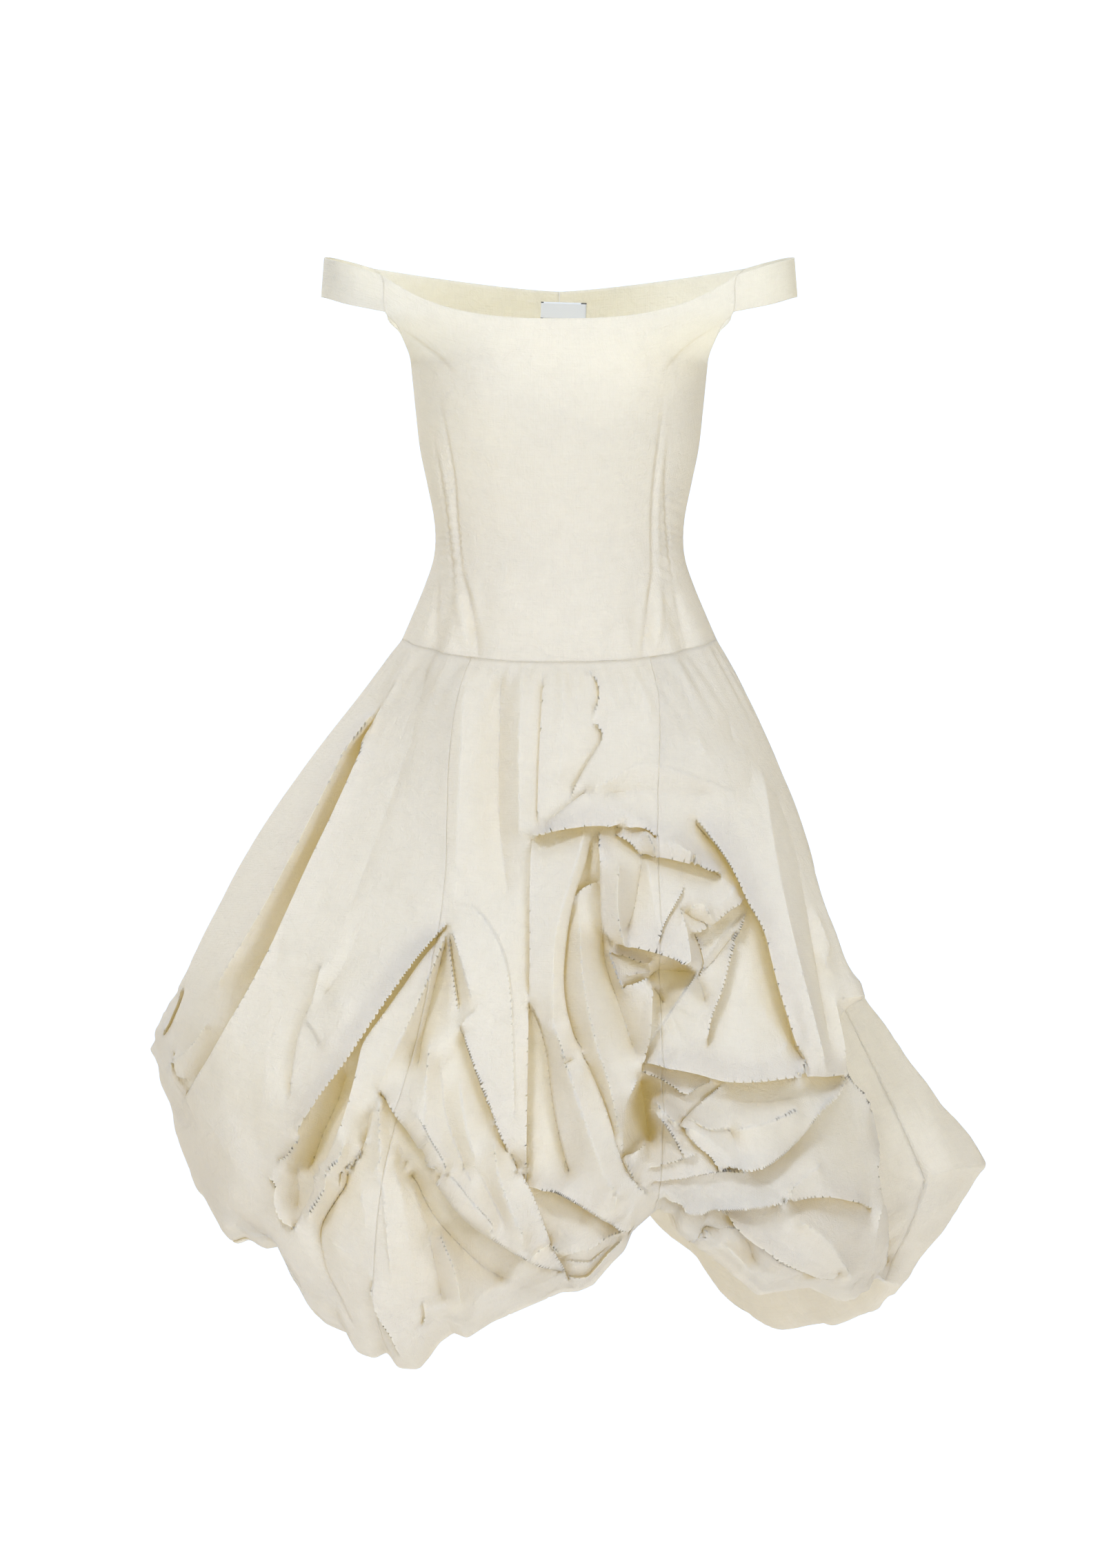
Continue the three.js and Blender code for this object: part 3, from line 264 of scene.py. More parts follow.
# Each route is walked in X and Z of the photograph's view. The cloth stands out by left on its left hand
# and by right on its right hand, so equal values are a ridge or a valley. Lean carries the left lip over
# the right side.
creases = [
    # upper skirt
    crease([(-178, -160), (-223, -262), (-250, -318), (-293, -412), (-340, -498), (-376, -556)],
            22, -28, 2),
    crease([(-200, -180), (-246, -272), (-290, -356), (-340, -440)], 14, 14, firm=0.6),
    crease([(-22, -284), (-22, -262), (-20, -200), (-16, -130)], -4, 2, -2),
    crease([(-95, -122), (-97, -180), (-101, -270), (-105, -356)], 6, 6, firm=0.6),
    crease([(-58, -130), (-60, -200), (-60, -280), (-52, -350)], -5, -5, firm=0.6),
    crease([(-36, -130), (-40, -200), (-40, -290)], 3, 3, firm=0.6),
    crease([(4, -130), (4, -180), (0, -240)], 3, 3, firm=0.5),
    crease([(-128, -122), (-148, -200), (-176, -280), (-206, -360)], -4, -4, firm=0.5),
    crease([(16, -128), (34, -134), (39, -142), (40, -156), (32, -176)], 5, -3, 1),
    crease([(34, -182), (45, -193), (38, -206), (22, -232), (10, -256)], 6, -3, 1),
    crease([(62, -146), (60, -166), (36, -178)], 2, 2, firm=0.4),
    crease([(120, -118), (136, -150)], 3, 3, firm=0.3),
    crease([(165, -128), (182, -166)], 4, 4, firm=0.3),
    # crown of the rose
    crease([(34, -247), (58, -234), (82, -221), (112, -227), (150, -240), (174, -251)], 17, 18),
    crease([(48, -252), (66, -250), (86, -251), (124, -253), (150, -252)], 5, 5, firm=0.5),
    crease([(-16, -284), (-4, -274), (10, -262), (28, -250)], 0, 9, -2),
    crease([(-28, -296), (0, -290), (26, -286), (52, -285), (62, -284)], 24, -10, 6),
    crease([(66, -285), (78, -286), (90, -289), (98, -296)], 20, 4, 3),
    crease([(57, -292), (69, -301), (82, -312)], 16, -4, 3),
    crease([(82, -312), (98, -316), (124, -322), (144, -328), (162, -333)], 20, -14, 8),
    crease([(86, -290), (94, -302), (96, -314)], 14, 14, firm=0.5),
    crease([(60, -266), (72, -275), (90, -280)], 10, 10, firm=0.4),
    crease([(106, -298), (126, -308), (148, -320)], 12, 12, firm=0.3),
    # cape beside the rose
    crease([(138, -280), (158, -307), (175, -335), (187, -362), (203, -390), (210, -417), (218, -448),
            (228, -480), (238, -507), (247, -519)], 20, -20, 5),
    crease([(120, -200), (152, -207), (185, -215), (202, -222), (232, -229)], 10, 10, firm=0.5),
    crease([(184, -252), (194, -241), (202, -224)], 9, 9, firm=0.5),
    crease([(204, -232), (214, -300), (230, -380), (250, -460), (268, -530)], 15, 15, firm=0.5),
    crease([(236, -262), (250, -330), (262, -400), (278, -470), (288, -532)], 11, 11, firm=0.3),
    crease([(222, -250), (240, -330), (256, -420), (270, -500)], 3, 3, firm=0.4),
    crease([(96, -125), (108, -160), (112, -182)], 3, 3, firm=0.4),
    crease([(140, -130), (154, -164), (164, -188)], -2, -2, firm=0.4),
    # petals
    crease([(39, -290), (40, -317), (41, -355), (42, -383), (48, -397), (55, -402)], 24, -8, 4),
    crease([(55, -402), (75, -407), (97, -413), (117, -420), (134, -428)], 28, -24, 8),
    crease([(82, -318), (78, -345), (73, -372), (66, -390)], 4, 7),
    crease([(60, -320), (58, -355), (60, -385), (64, -398)], 20, 20, firm=0.6),
    crease([(88, -318), (92, -352), (96, -378), (98, -402)], 13, 12, firm=0.5),
    crease([(126, -345), (118, -361), (105, -384), (99, -403)], 8, 16, -2),
    crease([(121, -366), (127, -385), (130, -405), (132, -424)], 13, 20, firm=0.8),
    crease([(120, -366), (130, -375), (140, -380), (152, -381)], 9, 5, 2),
    crease([(130, -368), (142, -360), (151, -374)], 12, 12, firm=0.5),
    crease([(130, -392), (145, -389), (155, -383), (170, -370), (186, -357)], 13, -16, 6),
    crease([(176, -345), (168, -358), (150, -372)], 7, 7, firm=0.4),
    # heart of the rose and its lips
    crease([(89, -438), (97, -428), (112, -430), (130, -430)], -46, -44),
    crease([(50, -410), (68, -416), (86, -424), (94, -419)], 4, -14, 3),
    crease([(49, -406), (56, -428), (64, -447)], 2, 8),
    crease([(64, -447), (80, -440), (90, -437)], -14, 8, -3),
    crease([(66, -434), (80, -433), (92, -430)], 2, -6, 2),
    crease([(93, -441), (93, -468), (91, -498), (82, -528)], -16, 10, -4),
    crease([(94, -446), (100, -453), (105, -462)], -20, -20, firm=0.4),
    crease([(134, -430), (143, -446), (146, -462)], -8, -8, firm=0.4),
    crease([(135, -392), (142, -410), (144, -428), (138, -436)], -6, -12, 2, firm=0.6),
    crease([(182, -372), (161, -397), (134, -438), (112, -470), (86, -507)], -10, -8, firm=0.7),
    crease([(148, -504), (151, -482), (163, -452), (172, -418), (179, -397), (190, -366)], 4, -20, 3),
    crease([(178, -388), (160, -412), (142, -432)], -9, -12, 2, firm=0.6),
    crease([(228, -500), (222, -512), (204, -524)], 4, 4, firm=0.4),
    # tubes and curtain at the rose's left
    crease([(-28, -298), (-30, -350), (-30, -410), (-30, -456)], 8, -4, 2),
    crease([(25, -292), (18, -318), (6, -356), (-3, -390), (-6, -420), (-6, -486)], 9, 9, firm=0.5),
    crease([(22, -508), (13, -490), (5, -450), (6, -412), (14, -360), (24, -330), (33, -296)], 13, -6, 3),
    crease([(40, -341), (28, -343), (18, -350), (11, -362)], 8, -14, 2),
    crease([(20, -380), (24, -440), (34, -492), (50, -545), (60, -592)], 14, 14, firm=0.6),
    crease([(43, -392), (46, -420), (56, -452), (66, -482), (76, -512)], -10, -10, firm=0.7),
    crease([(80, -536), (68, -562), (64, -590), (63, -614)], -12, 10, -3),
    crease([(63, -617), (75, -612), (87, -602)], -14, 8, -3),
    crease([(66, -618), (76, -644), (87, -652)], 12, 12, firm=0.6),
    crease([(88, -654), (65, -625), (48, -570), (34, -535), (20, -508)], 18, 5, 2),
    crease([(-30, -462), (-20, -480), (-12, -510), (-6, -560), (2, -600), (12, -636)], 6, -14),
    crease([(-33, -640), (-32, -560), (-31, -500), (-31, -462)], 9, -18, 3),
    crease([(-4, -490), (6, -520), (22, -570), (40, -620), (58, -664)], 16, 16, firm=0.5),
    crease([(0, -512), (12, -524), (26, -530)], 13, 13, firm=0.3),
    crease([(2, -524), (18, -516), (30, -520)], 9, 9, firm=0.3),
    crease([(-32, -647), (-8, -650), (27, -669), (61, -690), (74, -694)], 18, -24, 8),
    crease([(-2, -722), (30, -708), (66, -692)], 2, -10, 3),
    crease([(4, -726), (28, -720), (50, -712)], -6, -2, firm=0.5),
    # the tuck at the left seam
    crease([(-101, -364), (-90, -362), (-70, -383), (-56, -411), (-49, -445), (-46, -500), (-44, -580)],
            8, 12),
    crease([(-262, -590), (-239, -556), (-214, -523), (-180, -472), (-146, -424), (-114, -384)],
            20, -18, 6),
    crease([(-118, -392), (-146, -430), (-173, -468), (-197, -502), (-201, -520), (-214, -569),
            (-228, -606), (-248, -652), (-266, -688)], 14, -16, 3),
    crease([(-114, -395), (-132, -440), (-150, -480), (-170, -520), (-180, -546)], 8, 8, firm=0.5),
    crease([(-112, -396), (-124, -440), (-136, -490), (-142, -530)], -6, -6, firm=0.5),
    crease([(-110, -394), (-106, -430), (-100, -470)], -5, 4, firm=0.8),
    crease([(-108, -388), (-98, -420), (-88, -456)], 8, 8, firm=0.4),
    crease([(-98, -487), (-90, -514), (-80, -542), (-70, -569), (-52, -611)], 16, -12, 3),
    crease([(-58, -596), (-75, -540), (-80, -508), (-84, -480)], 6, 6, firm=0.8),
    crease([(-98, -486), (-95, -474), (-85, -471)], 4, 10),
    crease([(-130, -500), (-134, -560), (-130, -606), (-112, -640)], 12, 12, firm=0.4),
    crease([(-100, -540), (-92, -590), (-76, -640), (-50, -690)], 8, 8, firm=0.4),
    crease([(-66, -600), (-56, -650), (-34, -700)], 14, 14, firm=0.4),
    # pocket under the tuck and the loop in it
    crease([(-262, -598), (-275, -618), (-284, -645), (-285, -666), (-278, -681), (-266, -686)],
            9, -7, 1),
    crease([(-258, -610), (-260, -640), (-262, -668)], -9, -9, firm=0.6),
    crease([(-212, -528), (-222, -560), (-236, -590), (-250, -628)], -20, -20, firm=0.6),
    # left panel
    crease([(-239, -424), (-246, -456), (-259, -486), (-266, -520), (-270, -556)], 6, -8),
    crease([(-254, -480), (-246, -487), (-239, -504)], 8, 4, firm=0.6),
    crease([(-230, -462), (-221, -457), (-211, -463), (-219, -482), (-236, -508)], 7, 7, firm=0.4),
    crease([(-278, -400), (-290, -480), (-296, -560)], 3, 3, firm=0.4),
    crease([(-200, -392), (-222, -436), (-236, -456)], -2, -2, firm=0.4),
    # lower left puff
    crease([(-180, -549), (-173, -562), (-152, -590), (-135, -618), (-121, -645), (-101, -673),
            (-77, -693), (-42, -714), (-21, -728), (2, -744)], 18, -20, 9),
    crease([(-180, -556), (-181, -590), (-178, -630), (-174, -684), (-168, -740)], 12, 10),
    crease([(-184, -562), (-190, -590), (-205, -622), (-222, -648)], 9, 3, firm=0.7),
    crease([(-189, -572), (-194, -600), (-208, -636), (-226, -664), (-238, -686), (-236, -712),
            (-229, -738), (-218, -756), (-206, -786)], -3, -8),
    crease([(-213, -600), (-230, -640), (-252, -676)], 12, 12, firm=0.6),
    crease([(-187, -738), (-189, -758), (-181, -782), (-170, -800), (-160, -826)], 14, 2, 2),
    crease([(-186, -738), (-206, -716), (-230, -700)], 6, 6, firm=0.4),
    crease([(-160, -606), (-142, -660), (-126, -712), (-117, -764)], -6, -6, firm=0.7),
    crease([(-120, -690), (-104, -730), (-98, -776)], 6, 6, firm=0.4),
    crease([(-137, -766), (-134, -786), (-137, -800)], 6, -2, firm=0.7),
    crease([(-152, -620), (-128, -672), (-92, -712), (-56, -744)], -15, -15, firm=0.5),
    crease([(9, -750), (-4, -714), (-14, -686), (-28, -649), (-50, -613)], 15, -14, 4),
    crease([(-24, -712), (-10, -702), (0, -716)], 12, 12, firm=0.5),
    crease([(4, -748), (30, -734), (50, -717), (62, -700)], -2, 6, firm=0.8),
    crease([(-176, -570), (-160, -640), (-150, -700), (-146, -760)], 1, 1, firm=0.8),
    crease([(-198, -650), (-194, -690), (-196, -722)], 6, 6),
    crease([(-146, -566), (-128, -600), (-96, -650), (-60, -690)], 14, 14, firm=0.4),
    crease([(-120, -520), (-112, -580), (-88, -640)], 3, 3, firm=0.4),
    # right lower shelves
    crease([(82, -521), (113, -528), (140, -534), (165, -541), (200, -541), (224, -538), (256, -535),
            (290, -535)], 22, -26, 9),
    crease([(247, -519), (243, -526), (238, -534)], 15, 18, firm=0.7),
    crease([(82, -530), (97, -536), (112, -545), (127, -554)], 4, -16, 4),
    crease([(127, -554), (140, -546), (152, -539)], 2, -10, 2),
    crease([(82, -538), (86, -566), (90, -596)], -42, -42),
    crease([(163, -543), (146, -556), (128, -574), (120, -584)], 2, -6, 2),
    crease([(94, -569), (108, -588), (125, -616)], 8, 0, 2),
    crease([(96, -560), (104, -572), (118, -582)], 6, 6, firm=0.6),
    crease([(106, -575), (120, -596), (130, -616)], 2, 2, firm=0.6),
    crease([(120, -582), (134, -602), (155, -619), (160, -629)], 10, -8, 4),
    crease([(120, -583), (142, -592), (166, -608)], 6, 6, firm=0.7),
    crease([(128, -576), (152, -590), (172, -586), (176, -600)], 12, 8, firm=0.8),
    crease([(176, -588), (206, -582), (240, -566)], 14, 14, firm=0.4),
    crease([(180, -560), (220, -560), (262, -548)], 0, 0, firm=0.5),
    crease([(160, -629), (172, -626), (194, -631), (214, -622), (240, -600), (262, -573), (279, -555),
            (290, -538)], 20, -22, 9),
    crease([(92, -642), (120, -639), (154, -632), (188, -631)], 6, -4, 3),
    crease([(90, -627), (120, -620), (140, -612)], 6, -2, 2),
    crease([(99, -669), (120, -672), (154, -672), (189, -669), (224, -663), (258, -656), (290, -659),
            (312, -667)], 18, -18, 7),
    crease([(222, -662), (240, -640), (262, -622)], 10, 10, firm=0.4),
    crease([(165, -673), (184, -700), (210, -716), (236, -736), (260, -750), (288, -761)], 16, -14, 4),
    crease([(130, -698), (156, -695), (182, -695), (214, -720), (244, -748)], 4, 0, firm=0.7),
    crease([(135, -700), (162, -720), (188, -742)], 8, 8, firm=0.6),
    crease([(188, -708), (192, -720), (194, -732)], -3, -3, firm=0.6),
    crease([(240, -680), (270, -700), (292, -744)], 14, 14, firm=0.4),
    crease([(320, -664), (316, -690), (312, -720), (290, -758)], 8, 14, firm=0.5),
    # right side
    crease([(331, -726), (330, -706), (330, -685), (321, -630), (314, -580), (304, -558), (291, -530),
            (284, -480), (278, -438)], 14, -44, 5),
    crease([(278, -440), (330, -498), (380, -556), (418, -612)], 4, 4, firm=0.2),
    crease([(420, -622), (396, -650), (366, -700), (344, -744)], 2, 2, firm=0.2),
    # left side
    crease([(-382, -446), (-386, -475), (-394, -492)], -8, 3),
    crease([(-352, -482), (-370, -505), (-396, -528)], 10, 2, 2),
    crease([(-402, -530), (-386, -534), (-372, -537)], 4, -12, 3),
    # hidden back, draped as unevenly as the front
    crease([(-262, -596), (-222, -540), (-186, -486), (-160, -440)], 13, 13, firm=0.3, back=True),
    crease([(-96, -440), (-112, -500), (-114, -560), (-98, -616)], 12, 12, firm=0.3, back=True),
    crease([(118, -400), (160, -462), (200, -524), (236, -596)], 14, -12, 1, firm=0.5, back=True),
    crease([(28, -380), (44, -450), (42, -520), (28, -566)], 11, 11, firm=0.3, back=True),
    crease([(160, -250), (190, -350), (210, -430)], 8, 8, firm=0.3, back=True),
]
swells = [
    swell([(-66, -250), (-80, -350), (-98, -430)], 8, 26, back=True),
    swell([(60, -150), (72, -250), (84, -360)], 7, 26, back=True),
    swell([(-40, -160), (-46, -260), (-52, -380)], -7, 22, back=True),
    swell([(24, -180), (30, -290), (30, -370)], -6, 20, back=True),
    swell([(120, -180), (136, -270), (150, -380)], -6, 24, back=True),
    swell([(-128, -170), (-146, -270), (-170, -380)], 7, 28, back=True),
    swell([(-222, -410), (-192, -500), (-156, -600)], -9, 20, back=True),
    swell([(84, -250), (100, -340), (110, -420)], -8, 20, back=True),
    swell([(-190, -290), (-226, -370), (-256, -440), (-280, -500)], 10, 22, back=True),
    swell([(34, -596), (88, -598), (132, -584)], 9, 16, back=True),
    swell([(90, -430), (106, -500), (98, -566)], 8, 24, back=True),
    swell([(-38, -450), (-52, -520), (-56, -580)], 7, 20, back=True),
    swell([(-84, -135), (-92, -230), (-100, -340)], 4, 22),
    swell([(-64, -140), (-66, -250), (-62, -350)], -6, 18),
    swell([(84, -122), (88, -170), (90, -216)], 3, 8),
    swell([(-150, -200), (-190, -320), (-230, -420)], 5, 40),
    swell([(-170, -330), (-140, -350), (-112, -362)], 4, 26),
    swell([(-330, -460), (-340, -560), (-330, -640)], 6, 30),
    swell([(140, -150), (160, -190)], -4, 18),
    swell([(-90, -150), (-110, -300), (-120, -390)], 8, 40, back=True),
    swell([(90, -150), (112, -300), (130, -400)], 8, 40, back=True),
]
rays = [  # gather points: x, z, first and last angle, count, length, height; angles turn from +X towards +Z
    (-108, -378, 150, 196, 5, 60, 1.6),
    (-104, -366, 66, 112, 4, 46, 1.0),
    (-110, -392, 226, 282, 7, 95, 2.2),
    (-180, -552, 236, 286, 5, 80, 2.4),
    (188, -366, 206, 250, 6, 90, 2.6),
    (96, -450, 268, 336, 7, 60, 2.4),
    (86, -534, 18, 60, 4, 60, 2.0),
    (98, -600, -70, 20, 6, 46, 2.2),
    (-30, -470, 288, 318, 4, 70, 2.0),
    (38, -288, 256, 286, 4, 60, 2.0),
    (286, -536, 192, 232, 5, 80, 2.2),
    (250, -520, 96, 132, 4, 80, 2.0),
    (36, -180, 70, 120, 4, 34, 1.4),
]

ringAzimuth, ringReach, ringHeight = basqueRing()


def skirtBase(azimuth, drop):
    table = np.array(skirt["meridians"], float)
    turn = np.array([360] + [0] * 7)
    wrapped = np.concatenate([table[-3:-1] - turn, table, table[1:3] + turn])
    at = (azimuth + 180) % 360 - 180
    column = lambda k: curveThrough(wrapped[:, 0], wrapped[:, k], at)
    level = lambda z: z + 0 * at
    edge, edgeHeight = column(6), column(7)
    atSeam = lambda values: np.interp(at, ringAzimuth, values, period=360)
    reach = [atSeam(ringReach), column(1), column(2), column(3), column(4),
             edge, edge - skirt["returnInset"]]
    height = [atSeam(ringHeight), level(skirt["hip"]), level(skirt["thigh"]), level(skirt["knee"]),
              column(5), edgeHeight, edgeHeight + skirt["returnRise"]]
    knots = np.array(skirt["knots"])
    i = np.clip(np.searchsorted(knots, drop, side="right") - 1, 0, len(knots) - 2)
    t = (drop - knots[i]) / (knots[i + 1] - knots[i])
    sharp = sum(share * np.exp(-((at - middle) / width) ** 4) for middle, width, share in skirt["corners"])
    sharp = sharp * (i >= 3) * (i <= 4)
    result = []
    for values in (np.stack(np.broadcast_arrays(*reach), -1), np.stack(np.broadcast_arrays(*height), -1)):
        slopes = np.empty_like(values)
        slopes[..., 1:-1] = (values[..., 2:] - values[..., :-2]) / (knots[2:] - knots[:-2])
        slopes[..., 0] = (values[..., 1] - values[..., 0]) / (knots[1] - knots[0])
        slopes[..., -1] = (values[..., -1] - values[..., -2]) / (knots[-1] - knots[-2])
        pick = lambda a, k: np.take_along_axis(a, k[..., None], -1)[..., 0]
        span = knots[i + 1] - knots[i]
        start, end = pick(values, i), pick(values, i + 1)
        curved = between(start, end, pick(slopes, i) * span, pick(slopes, i + 1) * span, t)
        result.append(curved + sharp * (start + (end - start) * t - curved))
    turn = np.radians(azimuth)
    return np.stack([result[0] * np.sin(turn), -result[0] * np.cos(turn), result[1]], -1)


def unit(v):
    return v / np.maximum(np.linalg.norm(v, axis=-1, keepdims=True), 1e-9)


def gridNormals(points, closed):
    if closed:  # the last column repeats the first
        ring = points[:, :-1]
        along = np.roll(ring, -1, 1) - np.roll(ring, 1, 1)
        along = np.concatenate([along, along[:, :1]], 1)
    else:
        along = np.gradient(points, axis=1)
    return unit(np.cross(np.gradient(points, axis=0), along))


def gridSmooth(points, closed, times, share=0.5):
    for _ in range(times):
        ring = points[:, :-1] if closed else points
        left, right = np.roll(ring, 1, 1), np.roll(ring, -1, 1)
        up, below = ring.copy(), ring.copy()
        up[1:], below[:-1] = ring[:-1], ring[1:]
        mean = (left + right + up + below) / 4
        if not closed:
            mean[:, 0], mean[:, -1] = ring[:, 0], ring[:, -1]
        mean[0], mean[-1] = ring[0], ring[-1]
        ring = ring + share * (mean - ring)
        points = np.concatenate([ring, ring[:, :1]], 1) if closed else ring
    return points


def inPhoto(points):  # X and Z where the camera sees a point, at the waist's plane
    scale = photo["distance"] / (photo["distance"] + points[..., 1])
    x = photo["centreX"] + (points[..., 0] - photo["centreX"]) * scale
    z = photo["centreZ"] + (points[..., 2] - photo["centreZ"]) * scale
    return np.stack([x, z], -1)


def routePoints(route, lean, step=5.0):
    route = np.array(route, float)
    lengths = np.concatenate([[0], np.cumsum(np.linalg.norm(np.diff(route, axis=0), axis=1))])
    at = np.linspace(0, lengths[-1], max(3, int(lengths[-1] / step) + 1))
    if len(route) == 2:
        points = np.stack([np.interp(at, lengths, route[:, k]) for k in (0, 1)], -1)
    else:
        points = np.stack([curveThrough(lengths, route[:, k], at) for k in (0, 1)], -1)
    along = unit(np.gradient(points, axis=0))
    place = at / lengths[-1]
    inner = smooth(0, 0.15, place) * smooth(0, 0.15, 1 - place)
    return points + (lean * inner)[:, None] * np.stack([-along[:, 1], along[:, 0]], -1)


class Finder:  # finds the point of the base surface that shows at a place once it has risen
    def __init__(self, points, rising, back):
        facing = rising[..., 1] > 0.05 if back else rising[..., 1] < -0.05
        self.points, self.rising, self.back = points[facing], rising[facing], back
        self.tree = KDTree(len(self.points))
        for k, (x, z) in enumerate(self.seen(self.points)):
            self.tree.insert((x, z, 0), k)
        self.tree.balance()

    def seen(self, points):
        return points[..., [0, 2]] if self.back else inPhoto(points)

    def nearest(self, flat):  # a flat patch through the grid's points around each place
        points, rising = [], []
        for x, z in flat:
            near = self.tree.find_n((x, z, 0), 8)
            chosen = [n[1] for n in near]
            pull = np.array([1 / (n[2] + 1.5) for n in near])
            patch = np.concatenate([np.ones((len(near), 1)), self.seen(self.points[chosen]) - (x, z)], 1)
            fit = np.linalg.lstsq(patch * pull[:, None], self.points[chosen] * pull[:, None], rcond=0.05)[0]
            points.append(fit[0])
            rising.append((self.rising[chosen] * pull[:, None]).sum(0))
        return np.array(points), unit(np.array(rising))

    def find(self, flat, rise):
        aim = flat
        for _ in range(3):
            points, rising = self.nearest(aim)
            aim = aim + 0.8 * (flat - self.seen(points + rising * rise))
        for _ in range(3):
            points[1:-1] = (points[:-2] + 2 * points[1:-1] + points[2:]) / 4
        return points


def measure(points, normals, path, reach):  # which points lie beside a path, and how
    near = np.all((points > path.min(0) - reach) & (points < path.max(0) + reach), axis=1)
    where = np.nonzero(near)[0]
    p, n = points[where], normals[where]
    start, along = path[:-1], path[1:] - path[:-1]
    lengthSq = (along ** 2).sum(1)
    best, index, shares = np.full(len(p), 1e18), np.zeros(len(p), int), np.zeros(len(p))
    for k in range(len(start)):
        share = ((p - start[k]) @ along[k]) / lengthSq[k]
        held = np.clip(share, 0, 1)
        distance = ((p - start[k] - held[:, None] * along[k]) ** 2).sum(1)
        closer = distance < best
        best[closer], index[closer], shares[closer] = distance[closer], k, share[closer]
    close = best < reach ** 2
    where, p, n, index, shares = where[close], p[close], n[close], index[close], shares[close]
    held = np.clip(shares, 0, 1)
    tangents = np.gradient(path, axis=0)
    tangent = tangents[index] * (1 - held[:, None]) + tangents[index + 1] * held[:, None]
    sideways = unit(np.cross(tangent, n))
    signed = ((p - start[index] - held[:, None] * along[index]) * sideways).sum(1)
    atEnd = ((index == 0) & (shares < 0)) | ((index == len(start) - 1) & (shares > 1))
    beyond = np.where(atEnd, np.abs(shares - held) * np.sqrt(lengthSq[index]), 0)
    return where, signed, sideways, (index + held) / len(start), beyond


def holdAtCreases(base, normals, rows, finders):  # what each crease asks of the points on its two sides
    points, facing = base.reshape(-1, 3), normals.reshape(-1, 3)
    count = len(points)
    weight, height, moved = np.zeros(count), np.zeros(count), np.zeros((count, 3))
    for row in rows:
        middle, half = (row["left"] + row["right"]) / 2, (row["left"] - row["right"]) / 2
        left, right = middle + drape["overlap"] * half, middle - drape["overlap"] * half
        left, right = (a * (drape["ridge"] if half == 0 else 1) for a in (left, right))
        lean = row["lean"]
        path = finders[row["back"]].find(routePoints(row["route"], lean), left if lean >= 0 else right)
        where, signed, sideways, place, beyond = measure(points, facing, path, drape["near"])
        side = np.zeros(count)
        side[where] = np.where(beyond < drape["lip"], np.where(signed > 0, 1, -1), 0)
        beside = nextToOther(side.reshape(base.shape[:2])).ravel()[where]
        ahead = signed > 0
        if left == right:
            beside = beside & ahead
        where, signed, sideways, place, ahead = (a[beside] for a in (where, signed, sideways, place, ahead))
        opened = smooth(0, 0.14, place) * smooth(0, 0.14, 1 - place)
        firm = drape["firmness"] * row["firm"] * (0.01 + 0.99 * opened ** 3)
        apart = 0 if left == right else np.where(ahead, 1, -1) * drape["lip"]
        over = lean * opened * (ahead if lean < 0 else ~ahead)
        weight[where] += firm
        height[where] += firm * np.where(ahead, right, left)
        moved[where] += (firm * (apart - signed + over))[:, None] * sideways
    held = np.maximum(weight, 1e-9)
    height, moved = height / held, moved / held[:, None]
    shape = base.shape[:2]
    return weight.reshape(shape), height.reshape(shape), moved.reshape(base.shape)


def nextToOther(side):  # points with a neighbour on the other side
    ring = side[:, :-1]
    beside = np.zeros(ring.shape, bool)
    for axis in (0, 1):
        for step in (1, -1):
            beside |= ring * np.roll(ring, step, axis) < 0
    return np.concatenate([beside, beside[:, :1]], 1)


def taut(base, weight, target, span):  # a sheet stretched between the held points, level far from them
    ring = slice(0, -1)
    base, weight, target = base[:, ring], weight[:, ring], target[:, ring]
    rows, columns = weight.shape
    sheet = None
    for stride, rounds in drape["levels"]:
        coarse = base[::stride, ::stride]
        nearest = lambda n: np.arange(n) // stride + (np.arange(n) % stride > stride // 2)
        i, j = np.minimum(nearest(rows), len(coarse) - 1), nearest(columns) % coarse.shape[1]
        spots = i[:, None] * coarse.shape[1] + j[None]
        held = np.bincount(spots.ravel(), weight.ravel(), coarse.shape[0] * coarse.shape[1])
        pulls = [np.bincount(spots.ravel(), (weight * target[..., k]).ravel(), len(held))
                 for k in range(target.shape[-1])]
        pull = np.stack(pulls, -1).reshape(*coarse.shape[:2], -1)
        held = held.reshape(coarse.shape[:2])
        across = np.linalg.norm(np.roll(coarse, -1, 1) - coarse, axis=-1)
        down = np.linalg.norm(np.diff(coarse, axis=0), axis=-1)
        down = np.concatenate([down, down[-1:]])
        toRight, toBelow = down / across, across / down
        toLeft = np.roll(toRight, 1, 1)
        toAbove = np.concatenate([0 * toBelow[:1], toBelow[:-1]])
        toBelow[-1] = 0
        total = toRight + toLeft + toAbove + toBelow + across * down / span ** 2 + held
        if sheet is None:
            sheet = np.zeros(pull.shape)
        else:
            sheet = np.repeat(np.repeat(sheet, 2, 0), 2, 1)[:coarse.shape[0], :coarse.shape[1]]
        for _ in range(rounds):
            above = np.concatenate([sheet[:1], sheet[:-1]])
            below = np.concatenate([sheet[1:], sheet[-1:]])
            pulled = (toRight[..., None] * np.roll(sheet, -1, 1) + toLeft[..., None] * np.roll(sheet, 1, 1)
                      + toAbove[..., None] * above + toBelow[..., None] * below + pull)
            sheet = sheet + 0.95 * (pulled / total[..., None] - sheet)
    return np.concatenate([sheet, sheet[:, :1]], 1)


